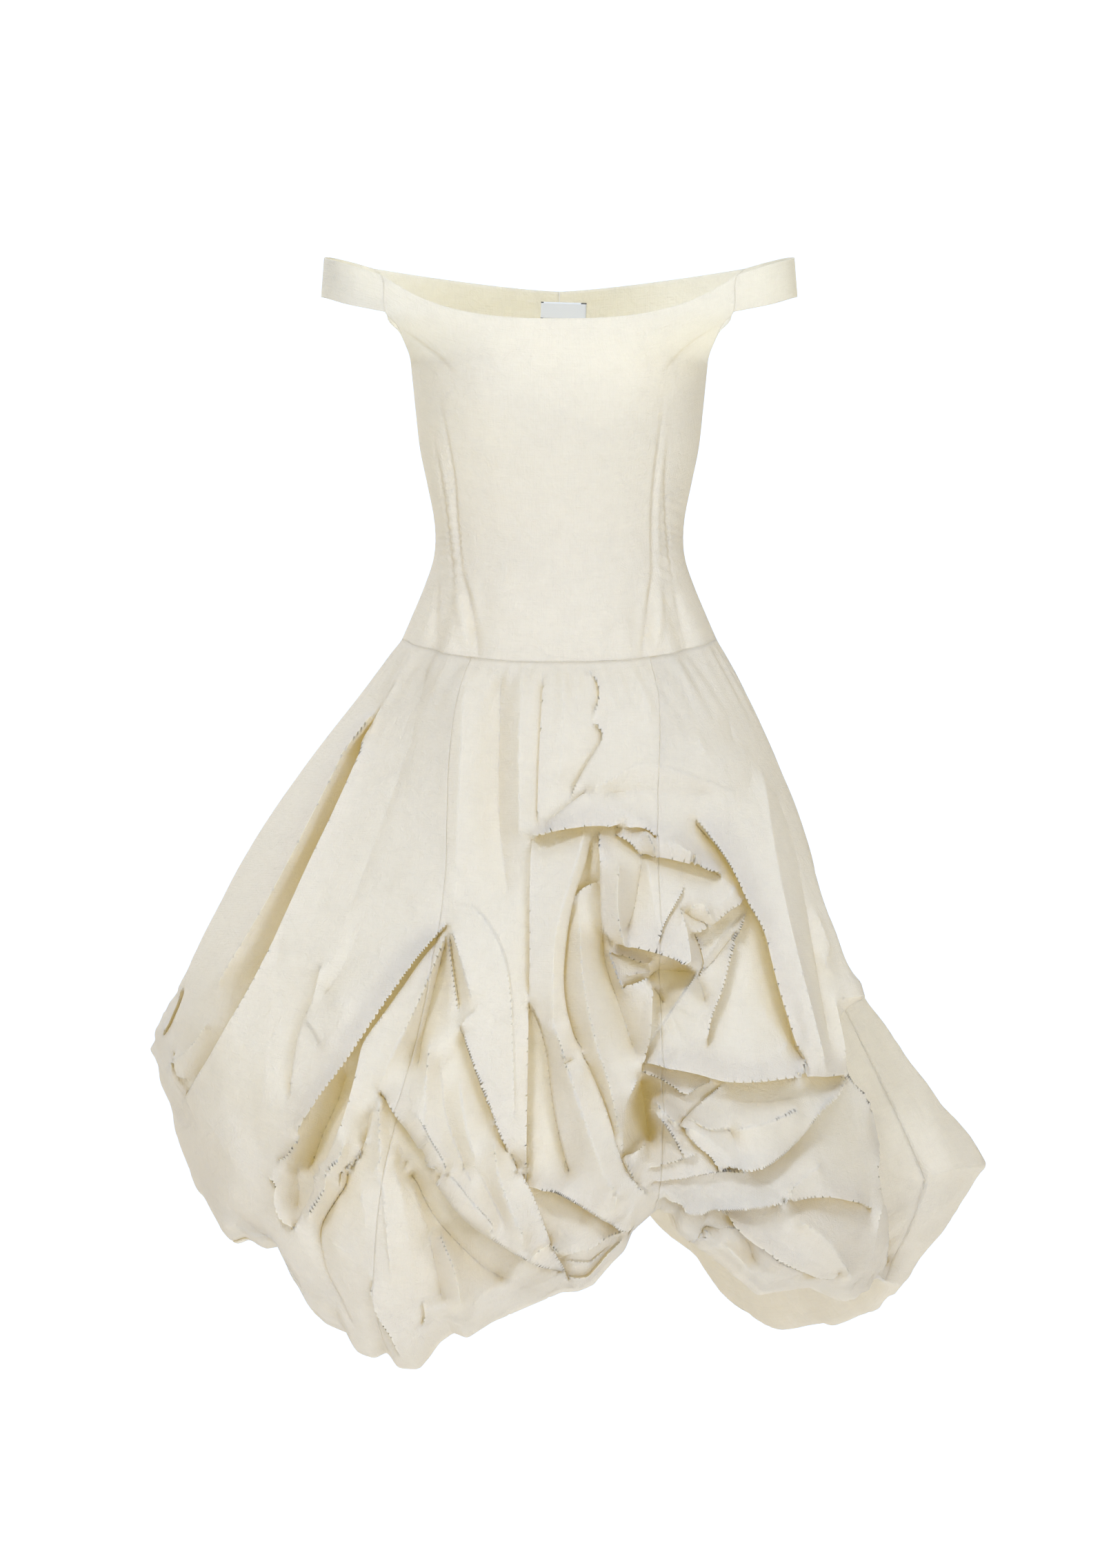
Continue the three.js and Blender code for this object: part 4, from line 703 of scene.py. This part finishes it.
def softSwells(base, normals, rows, finders):
    points, facing = base.reshape(-1, 3), normals.reshape(-1, 3)
    rise = np.zeros(len(points))
    for row in rows:
        path = finders[row["back"]].find(routePoints(row["route"], 0), row["rise"])
        where, signed, sideways, place, beyond = measure(points, facing, path, row["reach"] * 3)
        along = 0.2 + 0.8 * smooth(0, 0.3, place) * smooth(0, 0.3, 1 - place)
        along = along * np.exp(-(beyond / row["reach"]) ** 2)
        rise[where] += row["rise"] * along * np.exp(-(signed / row["reach"]) ** 2)
    return rise.reshape(base.shape[:2])


def rayCreases():  # small creases that run out of each gather point, uneven in length and height
    random = np.random.default_rng(drape["seed"])
    rows = []
    for x, z, first, last, count, length, height in rays:
        for k in range(count):
            angle = math.radians(first + (last - first) * (k + 0.5 + random.uniform(-0.3, 0.3)) / count)
            reach = length * random.uniform(0.55, 1.1)
            bend = random.uniform(-0.06, 0.06) * reach
            start, end = 0.16 * length, reach
            line = []
            for share in (0, 0.5, 1):
                out = start + (end - start) * share
                off = bend * math.sin(math.pi * share)
                line.append((x + out * math.cos(angle) - off * math.sin(angle),
                             z + out * math.sin(angle) + off * math.cos(angle)))
            rows.append(swell(line, height * (1 if k % 2 else -0.9), 3.2 + 0.03 * length))
    return rows


def crumple(azimuth, drop):  # flat facets with crisp edges: triangle waves laid across each other
    random = np.random.default_rng(drape["seed"])
    u, v = np.radians(azimuth) * drape["girth"], drop * drape["fall"]
    u, v = (u + 9 * np.sin(v / 61) + 5 * np.sin(v / 23 + u / 90),
            v + 11 * np.sin(u / 83) + 6 * np.sin(u / 31 + v / 70))  # so that no two facets are alike
    total = 0
    for k in range(drape["waves"]):
        angle, length = random.uniform(0, math.pi), random.uniform(*drape["facets"])
        phase = (u * math.cos(angle) + 0.6 * v * math.sin(angle)) / length + random.uniform(0, 1)
        total = total + length * (2 * np.abs(phase - np.floor(phase + 0.5)) - 0.5)
    return total / math.sqrt(drape["waves"])


def skirtGrid():
    stretches = [np.linspace(start, end, count + 1)[1:] for start, end, count in skirt["rows"]]
    drop = np.concatenate([[0]] + stretches)
    seam = lambda rows: curveThrough([r[0] for r in rows], [r[1] for r in rows], drop)
    flat = lambda value: value + 0 * drop
    edges = [flat(skirt["leftSide"]), seam(skirt["leftSeam"]), seam(skirt["rightSeam"]),
             flat(skirt["rightSide"]), flat(skirt["backSeam"]), flat(360 + skirt["leftSide"])]
    columns, cuts = [], [0]
    for (count, lead), start, end in zip(skirt["cells"].values(), edges, edges[1:]):
        share = np.linspace(0, 1, count + 1)[:-1]
        share = share - lead * np.sin(math.pi * share) / math.pi
        columns += [start + (end - start) * s for s in share]
        cuts.append(cuts[-1] + count)
    columns.append(edges[-1])
    azimuth = np.stack(columns, 1)
    return azimuth, np.repeat(drop[:, None], azimuth.shape[1], 1), cuts


def drapeSkirt():
    azimuth, drop, cuts = skirtGrid()
    base = skirtBase(azimuth, drop)
    normals = gridNormals(base, True)
    toward = np.sign(normals[..., 1]) * smooth(0.05, 0.5, np.abs(normals[..., 1]))
    rising = unit(normals + drape["toward"] * toward[..., None] * np.array([0, 1, 0]))
    shown = np.where((drop < 1.03)[..., None], rising, 0)
    finders = {False: Finder(base, shown, False), True: Finder(base, shown, True)}
    print("skirt: base surface", base.shape)
    weight, height, moved = holdAtCreases(base, normals, creases, finders)
    print("skirt: creases", len(creases))
    fade = smooth(0, 0.05, drop) * (1 - smooth(1.0, 1.16, drop))
    rise = taut(base, weight, height[..., None], drape["span"])[..., 0]
    moved = taut(base, weight, moved, drape["leanSpan"])
    rise = rise + drape["gain"] * (rise - gridSmooth(rise, True, 160, 1))
    small = rayCreases()
    rise = rise + softSwells(base, normals, swells + small, finders)
    print("skirt: swells and rays", len(swells) + len(small))
    loose = smooth(0.1, 0.45, drop) * (0.35 + 0.65 * smooth(0.35, 0.7, drop))  # more towards the hem
    rise = rise + drape["crumple"] * crumple(azimuth, drop) * loose
    points = base + (rising * rise[..., None] + moved) * fade[..., None]
    points = gatherHem(points, normals, azimuth, drop)
    print("skirt: draped")
    return points, cuts


def gatherHem(points, normals, azimuth, drop):  # uneven scallops along the hem, and gathers at the seam
    turn = np.radians(azimuth)
    waves = lambda rows: sum(size * np.sin(count * turn + start) for size, count, start in rows)
    phase = hem["scallops"] * turn + waves(hem["uneven"])
    cusp = 1 - np.abs(np.sin(phase)) ** 0.7
    front = smooth(-90, -76, azimuth) * (1 - smooth(72, 86, azimuth))
    inside = smooth(84, 92, azimuth) * (1 - smooth(150, 175, azimuth))
    deep = (0.65 + 0.35 * np.sin(5 * turn + 2)) * (1 - 0.7 * front) * (1 - 0.7 * inside)
    near = smooth(0.86, 1, drop) * (1 - 0.6 * smooth(1.04, 1.22, drop))
    points = points - normals * (hem["pinch"] * deep * cusp * near)[..., None]
    points[..., 2] += hem["lift"] * deep * cusp * smooth(0.93, 1, drop)
    points[..., 2] += hemShift(points, drop) * front * smooth(0.8, 0.96, drop)
    ripple = sum(size * np.sin(count * turn + start + wander * np.sin(3 * turn))
                 for size, count, start, wander in hem["ripples"])
    return points + normals * (ripple * smooth(0, 0.02, drop) * (1 - smooth(0.03, 0.14, drop)))[..., None]


def hemShift(points, drop):  # how far each column moves for its lowest point to lie on the hem's table
    seen = inPhoto(points)
    heights = np.where((drop > 0.85) & (drop < 1.1), seen[..., 1], 0)
    lowest, columns = heights.argmin(0), np.arange(points.shape[1])
    line = np.array(hem["front"], float)
    shift = np.interp(seen[lowest, columns, 0], line[:, 0], line[:, 1]) - heights[lowest, columns]
    for _ in range(2):
        shift[1:-1] = (shift[:-2] + 2 * shift[1:-1] + shift[2:]) / 4
    return shift[None]


def meshFromGrid(name, points, thickness, paintedSeamShade=None):  # points: rows from the top, columns to the right; the last argument gives each point's share of painted shade along the darts' seams
    rows, columns = points.shape[0] - 1, points.shape[1] - 1
    bm = bmesh.new()
    bmesh.ops.create_grid(bm, x_segments=columns, y_segments=rows, size=1)
    # a layer that carries each point's painted shade along the darts' seams
    uvLayer, paintedSeamShadeLayer = bm.loops.layers.uv.new("cloth"), bm.verts.layers.float.new("paintedSeamShade")
    wide = np.linalg.norm(np.diff(points, axis=1), axis=2).sum(1).mean() * mm
    tall = np.linalg.norm(np.diff(points, axis=0), axis=2).sum(0).mean() * mm
    for vert in bm.verts:
        i, j = round((vert.co.x + 1) / 2 * columns), round((1 - vert.co.y) / 2 * rows)
        for loop in vert.link_loops:
            loop[uvLayer].uv = (wide * i / columns, tall * (1 - j / rows))
        vert.co = points[j, i] * mm
        vert[paintedSeamShadeLayer] = 0 if paintedSeamShade is None else paintedSeamShade[j, i]
    mesh = bpy.data.meshes.new(name)
    bm.to_mesh(mesh)
    bm.free()
    mesh.polygons.foreach_set("use_smooth", [True] * len(mesh.polygons))
    mesh.set_sharp_from_angle(angle=math.radians(cloth["sharp"]))
    piece = bpy.data.objects.new(name, mesh)
    bpy.context.scene.collection.objects.link(piece)
    if thickness:
        shell = piece.modifiers.new("wall", "SOLIDIFY")
        shell.thickness = thickness * mm
        shell.offset = 0
    return piece


def addSheet(piece, node):
    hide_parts(node)
    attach(piece, "root")


def seamed(points, dips):  # a panel's edges turn in a little, which shows as the seam
    points = points.copy()
    normals = gridNormals(points, False)
    inward = unit(points[:, 1] - points[:, 0]), unit(points[:, -2] - points[:, -1])
    for column, direction, dip in zip((0, -1), inward, dips):
        points[:, column] += direction * cloth["seamGap"] / 2 - normals[:, column] * dip
    return points


def makeSkirt(material):
    points, cuts = drapeSkirt()
    for k, node in enumerate(skirt["cells"]):
        panel = seamed(points[:, cuts[k]:cuts[k + 1] + 1], skirt["dips"][k:k + 2])
        piece = meshFromGrid(node + "_cloth", panel, cloth["thickness"])
        piece.data.materials.append(material)
        addSheet(piece, node)


def pressed(front, normals, finders):  # the darts, and the puckers beside them at the waist
    rise = softSwells(front, normals, bodiceLines, finders)
    x, z = np.abs(front[..., 0]), front[..., 2]
    window = np.exp(-((x - puckers["x"] - puckers["slant"] * z) / puckers["width"]) ** 2)
    window = window * smooth(*puckers["start"], z) * (1 - smooth(*puckers["end"], z))
    size, pitch = puckers["wander"]
    phase = puckers["down"] * z + puckers["across"] * x + size * np.sin(pitch * z) + np.sign(front[..., 0])
    rise = rise + puckers["height"] * np.sin(phase) * window
    inside = smooth(0, 6, bodice["neckFront"] + bodice["neckFrontRise"] - z) * smooth(-122, -112, z)
    return rise * np.clip(inside, 0, 1)


def makeBodice(material):
    columns, rows = bodice["cells"]
    across, down = np.meshgrid(np.linspace(-0.9996, 0.9996, columns + 1), np.linspace(0, 1, rows + 1))
    front = bodicePoint(across, down, False)
    normals = gridNormals(front, False)
    finders = {False: Finder(front, normals, False)}
    # how near each point lies to a dart's seam, where painted shade darkens the cloth's colour
    paintedSeamShade = softSwells(front, normals, [swell(route, 1, 1.7) for route in bodiceSeams], finders)
    front = front + normals * pressed(front, normals, finders)[..., None]
    piece = meshFromGrid("bodice_front_cloth", front, cloth["thickness"], paintedSeamShade)
    piece.data.materials.append(material)
    addSheet(piece, "bodice_front")
    columns, rows = bodice["backCells"]
    for node, start, end in (("bodice_back_left", -0.0005, -0.9996), ("bodice_back_right", 0.9996, 0.0005)):
        across, down = np.meshgrid(np.linspace(start, end, columns + 1), np.linspace(0, 1, rows + 1))
        back = bodicePoint(across, down, True)
        piece = meshFromGrid(node + "_cloth", back, cloth["thickness"])
        piece.data.materials.append(material)
        addSheet(piece, node)


# Arm bands and label
armBand = {
    "stations": [  # x, y, top, bottom
        (206, -59, 273, 234),
        (227, -35, 280, 241),
        (235, 2, 284, 245),
        (228, 40, 286, 248),
        (206, 66, 282, 244),
    ],
    "bottomFront": 226, "bottomBack": 236, "flare": 3, "cells": (120, 30),
    "joined": 16,  # cells over which its ends turn into the bodice's edge
}


def bandEdge(points, count):  # a smooth line through a few places, its points evenly spaced
    points = np.array(points, float)
    at = np.concatenate([[0], np.cumsum(np.linalg.norm(np.diff(points, axis=0), axis=1))])
    return np.stack([curveThrough(at, points[:, k], np.linspace(0, at[-1], count)) for k in range(3)], -1)


def makeBands(material):
    columns, rows = armBand["cells"]
    for node, side in (("arm_band_left", -1), ("arm_band_right", 1)):
        edges = []
        for lower in (False, True):
            frontZ = armBand["bottomFront"] if lower else neckHeight(1, False)
            backZ = armBand["bottomBack"] if lower else neckHeight(1, True)
            middle = [(side * (x + lower * armBand["flare"]), y, bottom if lower else top)
                      for x, y, top, bottom in armBand["stations"]]
            ends = [bodiceSurface(np.array(float(side)), np.array(float(z)), back)
                    for z, back in ((frontZ, False), (backZ, True))]
            edges.append(bandEdge([ends[0], *middle, ends[1]], columns + 1))
        share = np.linspace(0, 1, rows + 1)[:, None, None]
        band = edges[0][None] * (1 - share) + edges[1][None] * share
        fade = smooth(0, 1, 1 - np.arange(columns + 1) / armBand["joined"])[None, :, None]
        for column, back, near in ((0, False, fade), (-1, True, fade[:, ::-1])):  # along the bodice's edge
            ends = bodiceSurface(side + 0 * band[:, column, 2], band[:, column, 2], back)
            band = band + (ends - band[:, column])[:, None] * near
        band = band if side > 0 else band[:, ::-1]
        piece = meshFromGrid(node + "_cloth", band, cloth["thickness"])
        piece.data.materials.append(material)
        addSheet(piece, node)


label = {"width": 43, "height": 17, "x": 4, "z": 235.5, "tilt": 2, "thickness": 0.7, "gap": 0.3,
         "tack": (2.6, 1),  # width and height of the dark stitches at its corners
         "tape": (0.8, 0.8, 0.76), "thread": (0.03, 0.03, 0.03)}


def makeLabel(material):
    right, up = np.meshgrid(np.linspace(-1, 1, 25) * label["width"] / 2,
                            np.linspace(1, -1, 11) * label["height"] / 2)
    tilt = math.radians(label["tilt"])
    x = label["x"] + right * math.cos(tilt) + up * math.sin(tilt)
    z = label["z"] + up * math.cos(tilt) - right * math.sin(tilt)
    edge = bodiceSurface(1 + 0 * z, z, True)[..., 0]
    points = bodiceSurface(x / edge, z, True)
    points[..., 1] -= cloth["thickness"] / 2 + label["gap"] + label["thickness"] / 2
    piece = meshFromGrid("neck_label_tape", points, label["thickness"])
    piece.data.materials.append(material)
    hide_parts("neck_label")
    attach(piece, "root")
    print("neck label: sewn in")


# Materials
cotton = {
    # seam: the colour of the painted shade laid along the darts' seams; seamShade: the greatest share of it
    "face": (0.93, 0.935, 0.93), "slub": (0.87, 0.875, 0.865), "seam": (0.5, 0.44, 0.34), "seamShade": 0.4,
    "through": (0.98, 0.88, 0.6), "sheer": 0.58,  # colour of the light that comes through, and its share
    "crinkle": 60.0, "depth": 0.0034, "weave": 0.25,  # scale, depth in metres, share of the threads in it
    "threads": 900.0, "slubs": 45.0,  # scales across and along a thread
}


def newMaterial(name, colour, roughness, sheen):
    material = bpy.data.materials.new(name)
    material.use_nodes = True
    tree = material.node_tree
    shader = tree.nodes["Principled BSDF"]
    shader.inputs["Base Color"].default_value = (*colour, 1)
    shader.inputs["Roughness"].default_value = roughness
    shader.inputs["Sheen Weight"].default_value = sheen
    shader.inputs["Sheen Roughness"].default_value = 0.5
    return material, tree, shader


def addNode(tree, kind, links=(), **settings):  # links: (input, output socket) pairs; settings: properties
    node = tree.nodes.new("ShaderNode" + kind)
    for name, value in settings.items():
        setattr(node, name, value)
    for name, source in links:
        if isinstance(source, (int, float, tuple)):
            node.inputs[name].default_value = source
        else:
            tree.links.new(source, node.inputs[name])
    return node


def ivoryCotton():
    material, tree, shader = newMaterial("ivoryCotton", cotton["face"], 0.85, 0.03)
    where = addNode(tree, "TexCoord").outputs["Object"]
    flat = addNode(tree, "UVMap", uv_map="cloth").outputs["UV"]
    crinkle = addNode(tree, "TexNoise", [("Vector", where), ("Scale", cotton["crinkle"]), ("Detail", 5.0),
                                         ("Roughness", 0.65), ("Distortion", 1.2)]).outputs["Fac"]
    threads = []
    for scale in ((cotton["threads"], cotton["slubs"], 1.0), (cotton["slubs"], cotton["threads"], 1.0)):
        drawn = addNode(tree, "Mapping", [("Vector", flat), ("Scale", scale)]).outputs["Vector"]
        noise = addNode(tree, "TexNoise", [("Vector", drawn), ("Scale", 1.0), ("Detail", 2.0)])
        threads.append(noise.outputs["Fac"])
    weave = addNode(tree, "Math", [(0, threads[0]), (1, threads[1])], operation="ADD").outputs["Value"]
    height = addNode(tree, "Math", [(0, weave), (1, cotton["weave"]), (2, crinkle)],
                     operation="MULTIPLY_ADD").outputs["Value"]
    raised = addNode(tree, "Bump", [("Height", height), ("Strength", 0.7), ("Distance", cotton["depth"])])
    tone = addNode(tree, "MapRange", [("Value", weave), ("From Min", 0.7), ("From Max", 1.3),
                                      ("To Min", 1.0), ("To Max", 0.0)]).outputs["Result"]
    face, slub, seam = ((*cotton[name], 1) for name in ("face", "slub", "seam"))
    cloudy = addNode(tree, "Mix", [("Factor", tone), ("A", face), ("B", slub)],
                     data_type="RGBA").outputs["Result"]
    # painted shade along the darts' seams: the attribute draws the cloth's colour towards the dark seam
    # colour
    paintedSeamShadeFac = addNode(tree, "Attribute", attribute_name="paintedSeamShade").outputs["Fac"]
    line = addNode(tree, "Math", [(0, paintedSeamShadeFac), (1, cotton["seamShade"])],
                   operation="MULTIPLY").outputs["Value"]
    colour = addNode(tree, "Mix", [("Factor", line), ("A", cloudy), ("B", seam)],
                     data_type="RGBA").outputs["Result"]
    tree.links.new(colour, shader.inputs["Base Color"])
    tree.links.new(raised.outputs["Normal"], shader.inputs["Normal"])
    through = addNode(tree, "BsdfTranslucent", [("Color", (*cotton["through"], 1)),
                                                ("Normal", raised.outputs["Normal"])])
    both = addNode(tree, "MixShader", [("Fac", cotton["sheer"]), (1, shader.outputs["BSDF"]),
                                       (2, through.outputs["BSDF"])])
    tree.links.new(both.outputs["Shader"], tree.nodes["Material Output"].inputs["Surface"])
    return material


def labelTape():
    material, tree, shader = newMaterial("labelTape", label["tape"], 0.7, 0)
    flat = addNode(tree, "UVMap", uv_map="cloth").outputs["UV"]
    split = addNode(tree, "SeparateXYZ", [("Vector", flat)])
    near = []
    for axis, size, tack in zip("XY", (label["width"], label["height"]), label["tack"]):
        centred = addNode(tree, "Math", [(0, split.outputs[axis]), (1, size * mm / 2)],
                          operation="SUBTRACT")
        folded = addNode(tree, "Math", [(0, centred.outputs["Value"])], operation="ABSOLUTE")
        near.append(addNode(tree, "Math", [(0, folded.outputs["Value"]), (1, (size / 2 - tack) * mm)],
                            operation="GREATER_THAN").outputs["Value"])
    corner = addNode(tree, "Math", [(0, near[0]), (1, near[1])], operation="MULTIPLY").outputs["Value"]
    tape, thread = (*label["tape"], 1), (*label["thread"], 1)
    colour = addNode(tree, "Mix", [("Factor", corner), ("A", tape), ("B", thread)],
                     data_type="RGBA").outputs["Result"]
    tree.links.new(colour, shader.inputs["Base Color"])
    return material


# Camera, lights and floor
studio = {
    "front": 0.39, "behind": 1.13,  # brightness of the room around the dress and of the wall behind it
    "wall": (0.955, 0.985),  # how squarely behind the dress the wall starts, and is at its full brightness
    "room": (0.92, 1.01, 1.22), "bulb": (0.92, 1.02, 1.25),  # colours of the room's light and of the lamps
    "aim": (0, 0, -0.3),
    "floor": {"half": 2.2, "height": -1.1, "paper": (0.92, 0.92, 0.92),
              "glow": 0.7, "near": 0.8, "far": 2.0},  # it glows from near on, fully from far on
    "lamps": [  # name, place, size, power
        ("keyLight", (-1.4, -3.8, 2.9), 0.9, 112),
        ("fillLight", (2.2, -4.2, -1.0), 1.6, 74),
        ("topLight", (0.2, -0.4, 3.2), 2.2, 46),
        ("backLight", (-1.9, 3.2, 2.0), 1.0, 84),
    ],
}


def makeCamera(scene):
    cameraData = bpy.data.cameras.new("camera")
    camera = bpy.data.objects.new("camera", cameraData)
    scene.collection.objects.link(camera)
    camera.location = (photo["centreX"] * mm, -photo["distance"] * mm, photo["centreZ"] * mm)
    camera.rotation_euler = (math.radians(90), 0, 0)
    cameraData.sensor_width = 36
    cameraData.lens = 36 * photo["distance"] / photo["height"]
    cameraData.clip_end = 100
    scene.camera = camera
    scene.view_settings.view_transform = "Standard"


def makeRoom(scene):
    world = bpy.data.worlds.new("studio")
    scene.world = world
    world.use_nodes = True
    tree = world.node_tree
    split = addNode(tree, "SeparateXYZ", [("Vector", addNode(tree, "TexCoord").outputs["Generated"])])
    start, full = studio["wall"]
    strength = addNode(tree, "MapRange", [("Value", split.outputs["Y"]), ("From Min", start),
                                          ("From Max", full), ("To Min", studio["front"]),
                                          ("To Max", studio["behind"])])
    sky = tree.nodes["Background"]
    sky.inputs["Color"].default_value = (*studio["room"], 1)
    tree.links.new(strength.outputs["Result"], sky.inputs["Strength"])


def makeLamps(scene):
    for name, place, size, power in studio["lamps"]:
        lampData = bpy.data.lights.new(name, "AREA")
        lampData.size = size
        lampData.energy = power
        lampData.color = studio["bulb"]
        lamp = bpy.data.objects.new(name, lampData)
        scene.collection.objects.link(lamp)
        lamp.location = place
        lamp.rotation_euler = (Vector(studio["aim"]) - Vector(place)).to_track_quat("-Z", "Y").to_euler()


def makeFloor(size):  # pale paper that glows away from the dress, so that its far edge goes white
    bm = bmesh.new()
    bmesh.ops.create_grid(bm, x_segments=1, y_segments=1, size=size["half"])
    bmesh.ops.translate(bm, verts=bm.verts, vec=(0, 0, size["height"]))
    floorMesh = bpy.data.meshes.new("floor")
    bm.to_mesh(floorMesh)
    bm.free()
    floor = bpy.data.objects.new("floor", floorMesh)
    bpy.context.scene.collection.objects.link(floor)
    paper, tree, shader = newMaterial("palePaper", size["paper"], 0.9, 0)
    shader.inputs["Emission Color"].default_value = (1, 1, 1, 1)
    where = addNode(tree, "TexCoord").outputs["Object"]
    far = addNode(tree, "VectorMath", [(0, where)], operation="LENGTH").outputs["Value"]
    glow = addNode(tree, "MapRange", [("Value", far), ("From Min", size["near"]), ("From Max", size["far"]),
                                      ("To Max", size["glow"])]).outputs["Result"]
    tree.links.new(glow, shader.inputs["Emission Strength"])
    floorMesh.materials.append(paper)


poplin = ivoryCotton()
makeCamera(bpy.context.scene)
makeRoom(bpy.context.scene)
makeLamps(bpy.context.scene)
makeFloor(studio["floor"])
print("stage: camera, room, lamps and floor")
makeBodice(poplin)
makeBands(poplin)
makeLabel(labelTape())
makeSkirt(poplin)
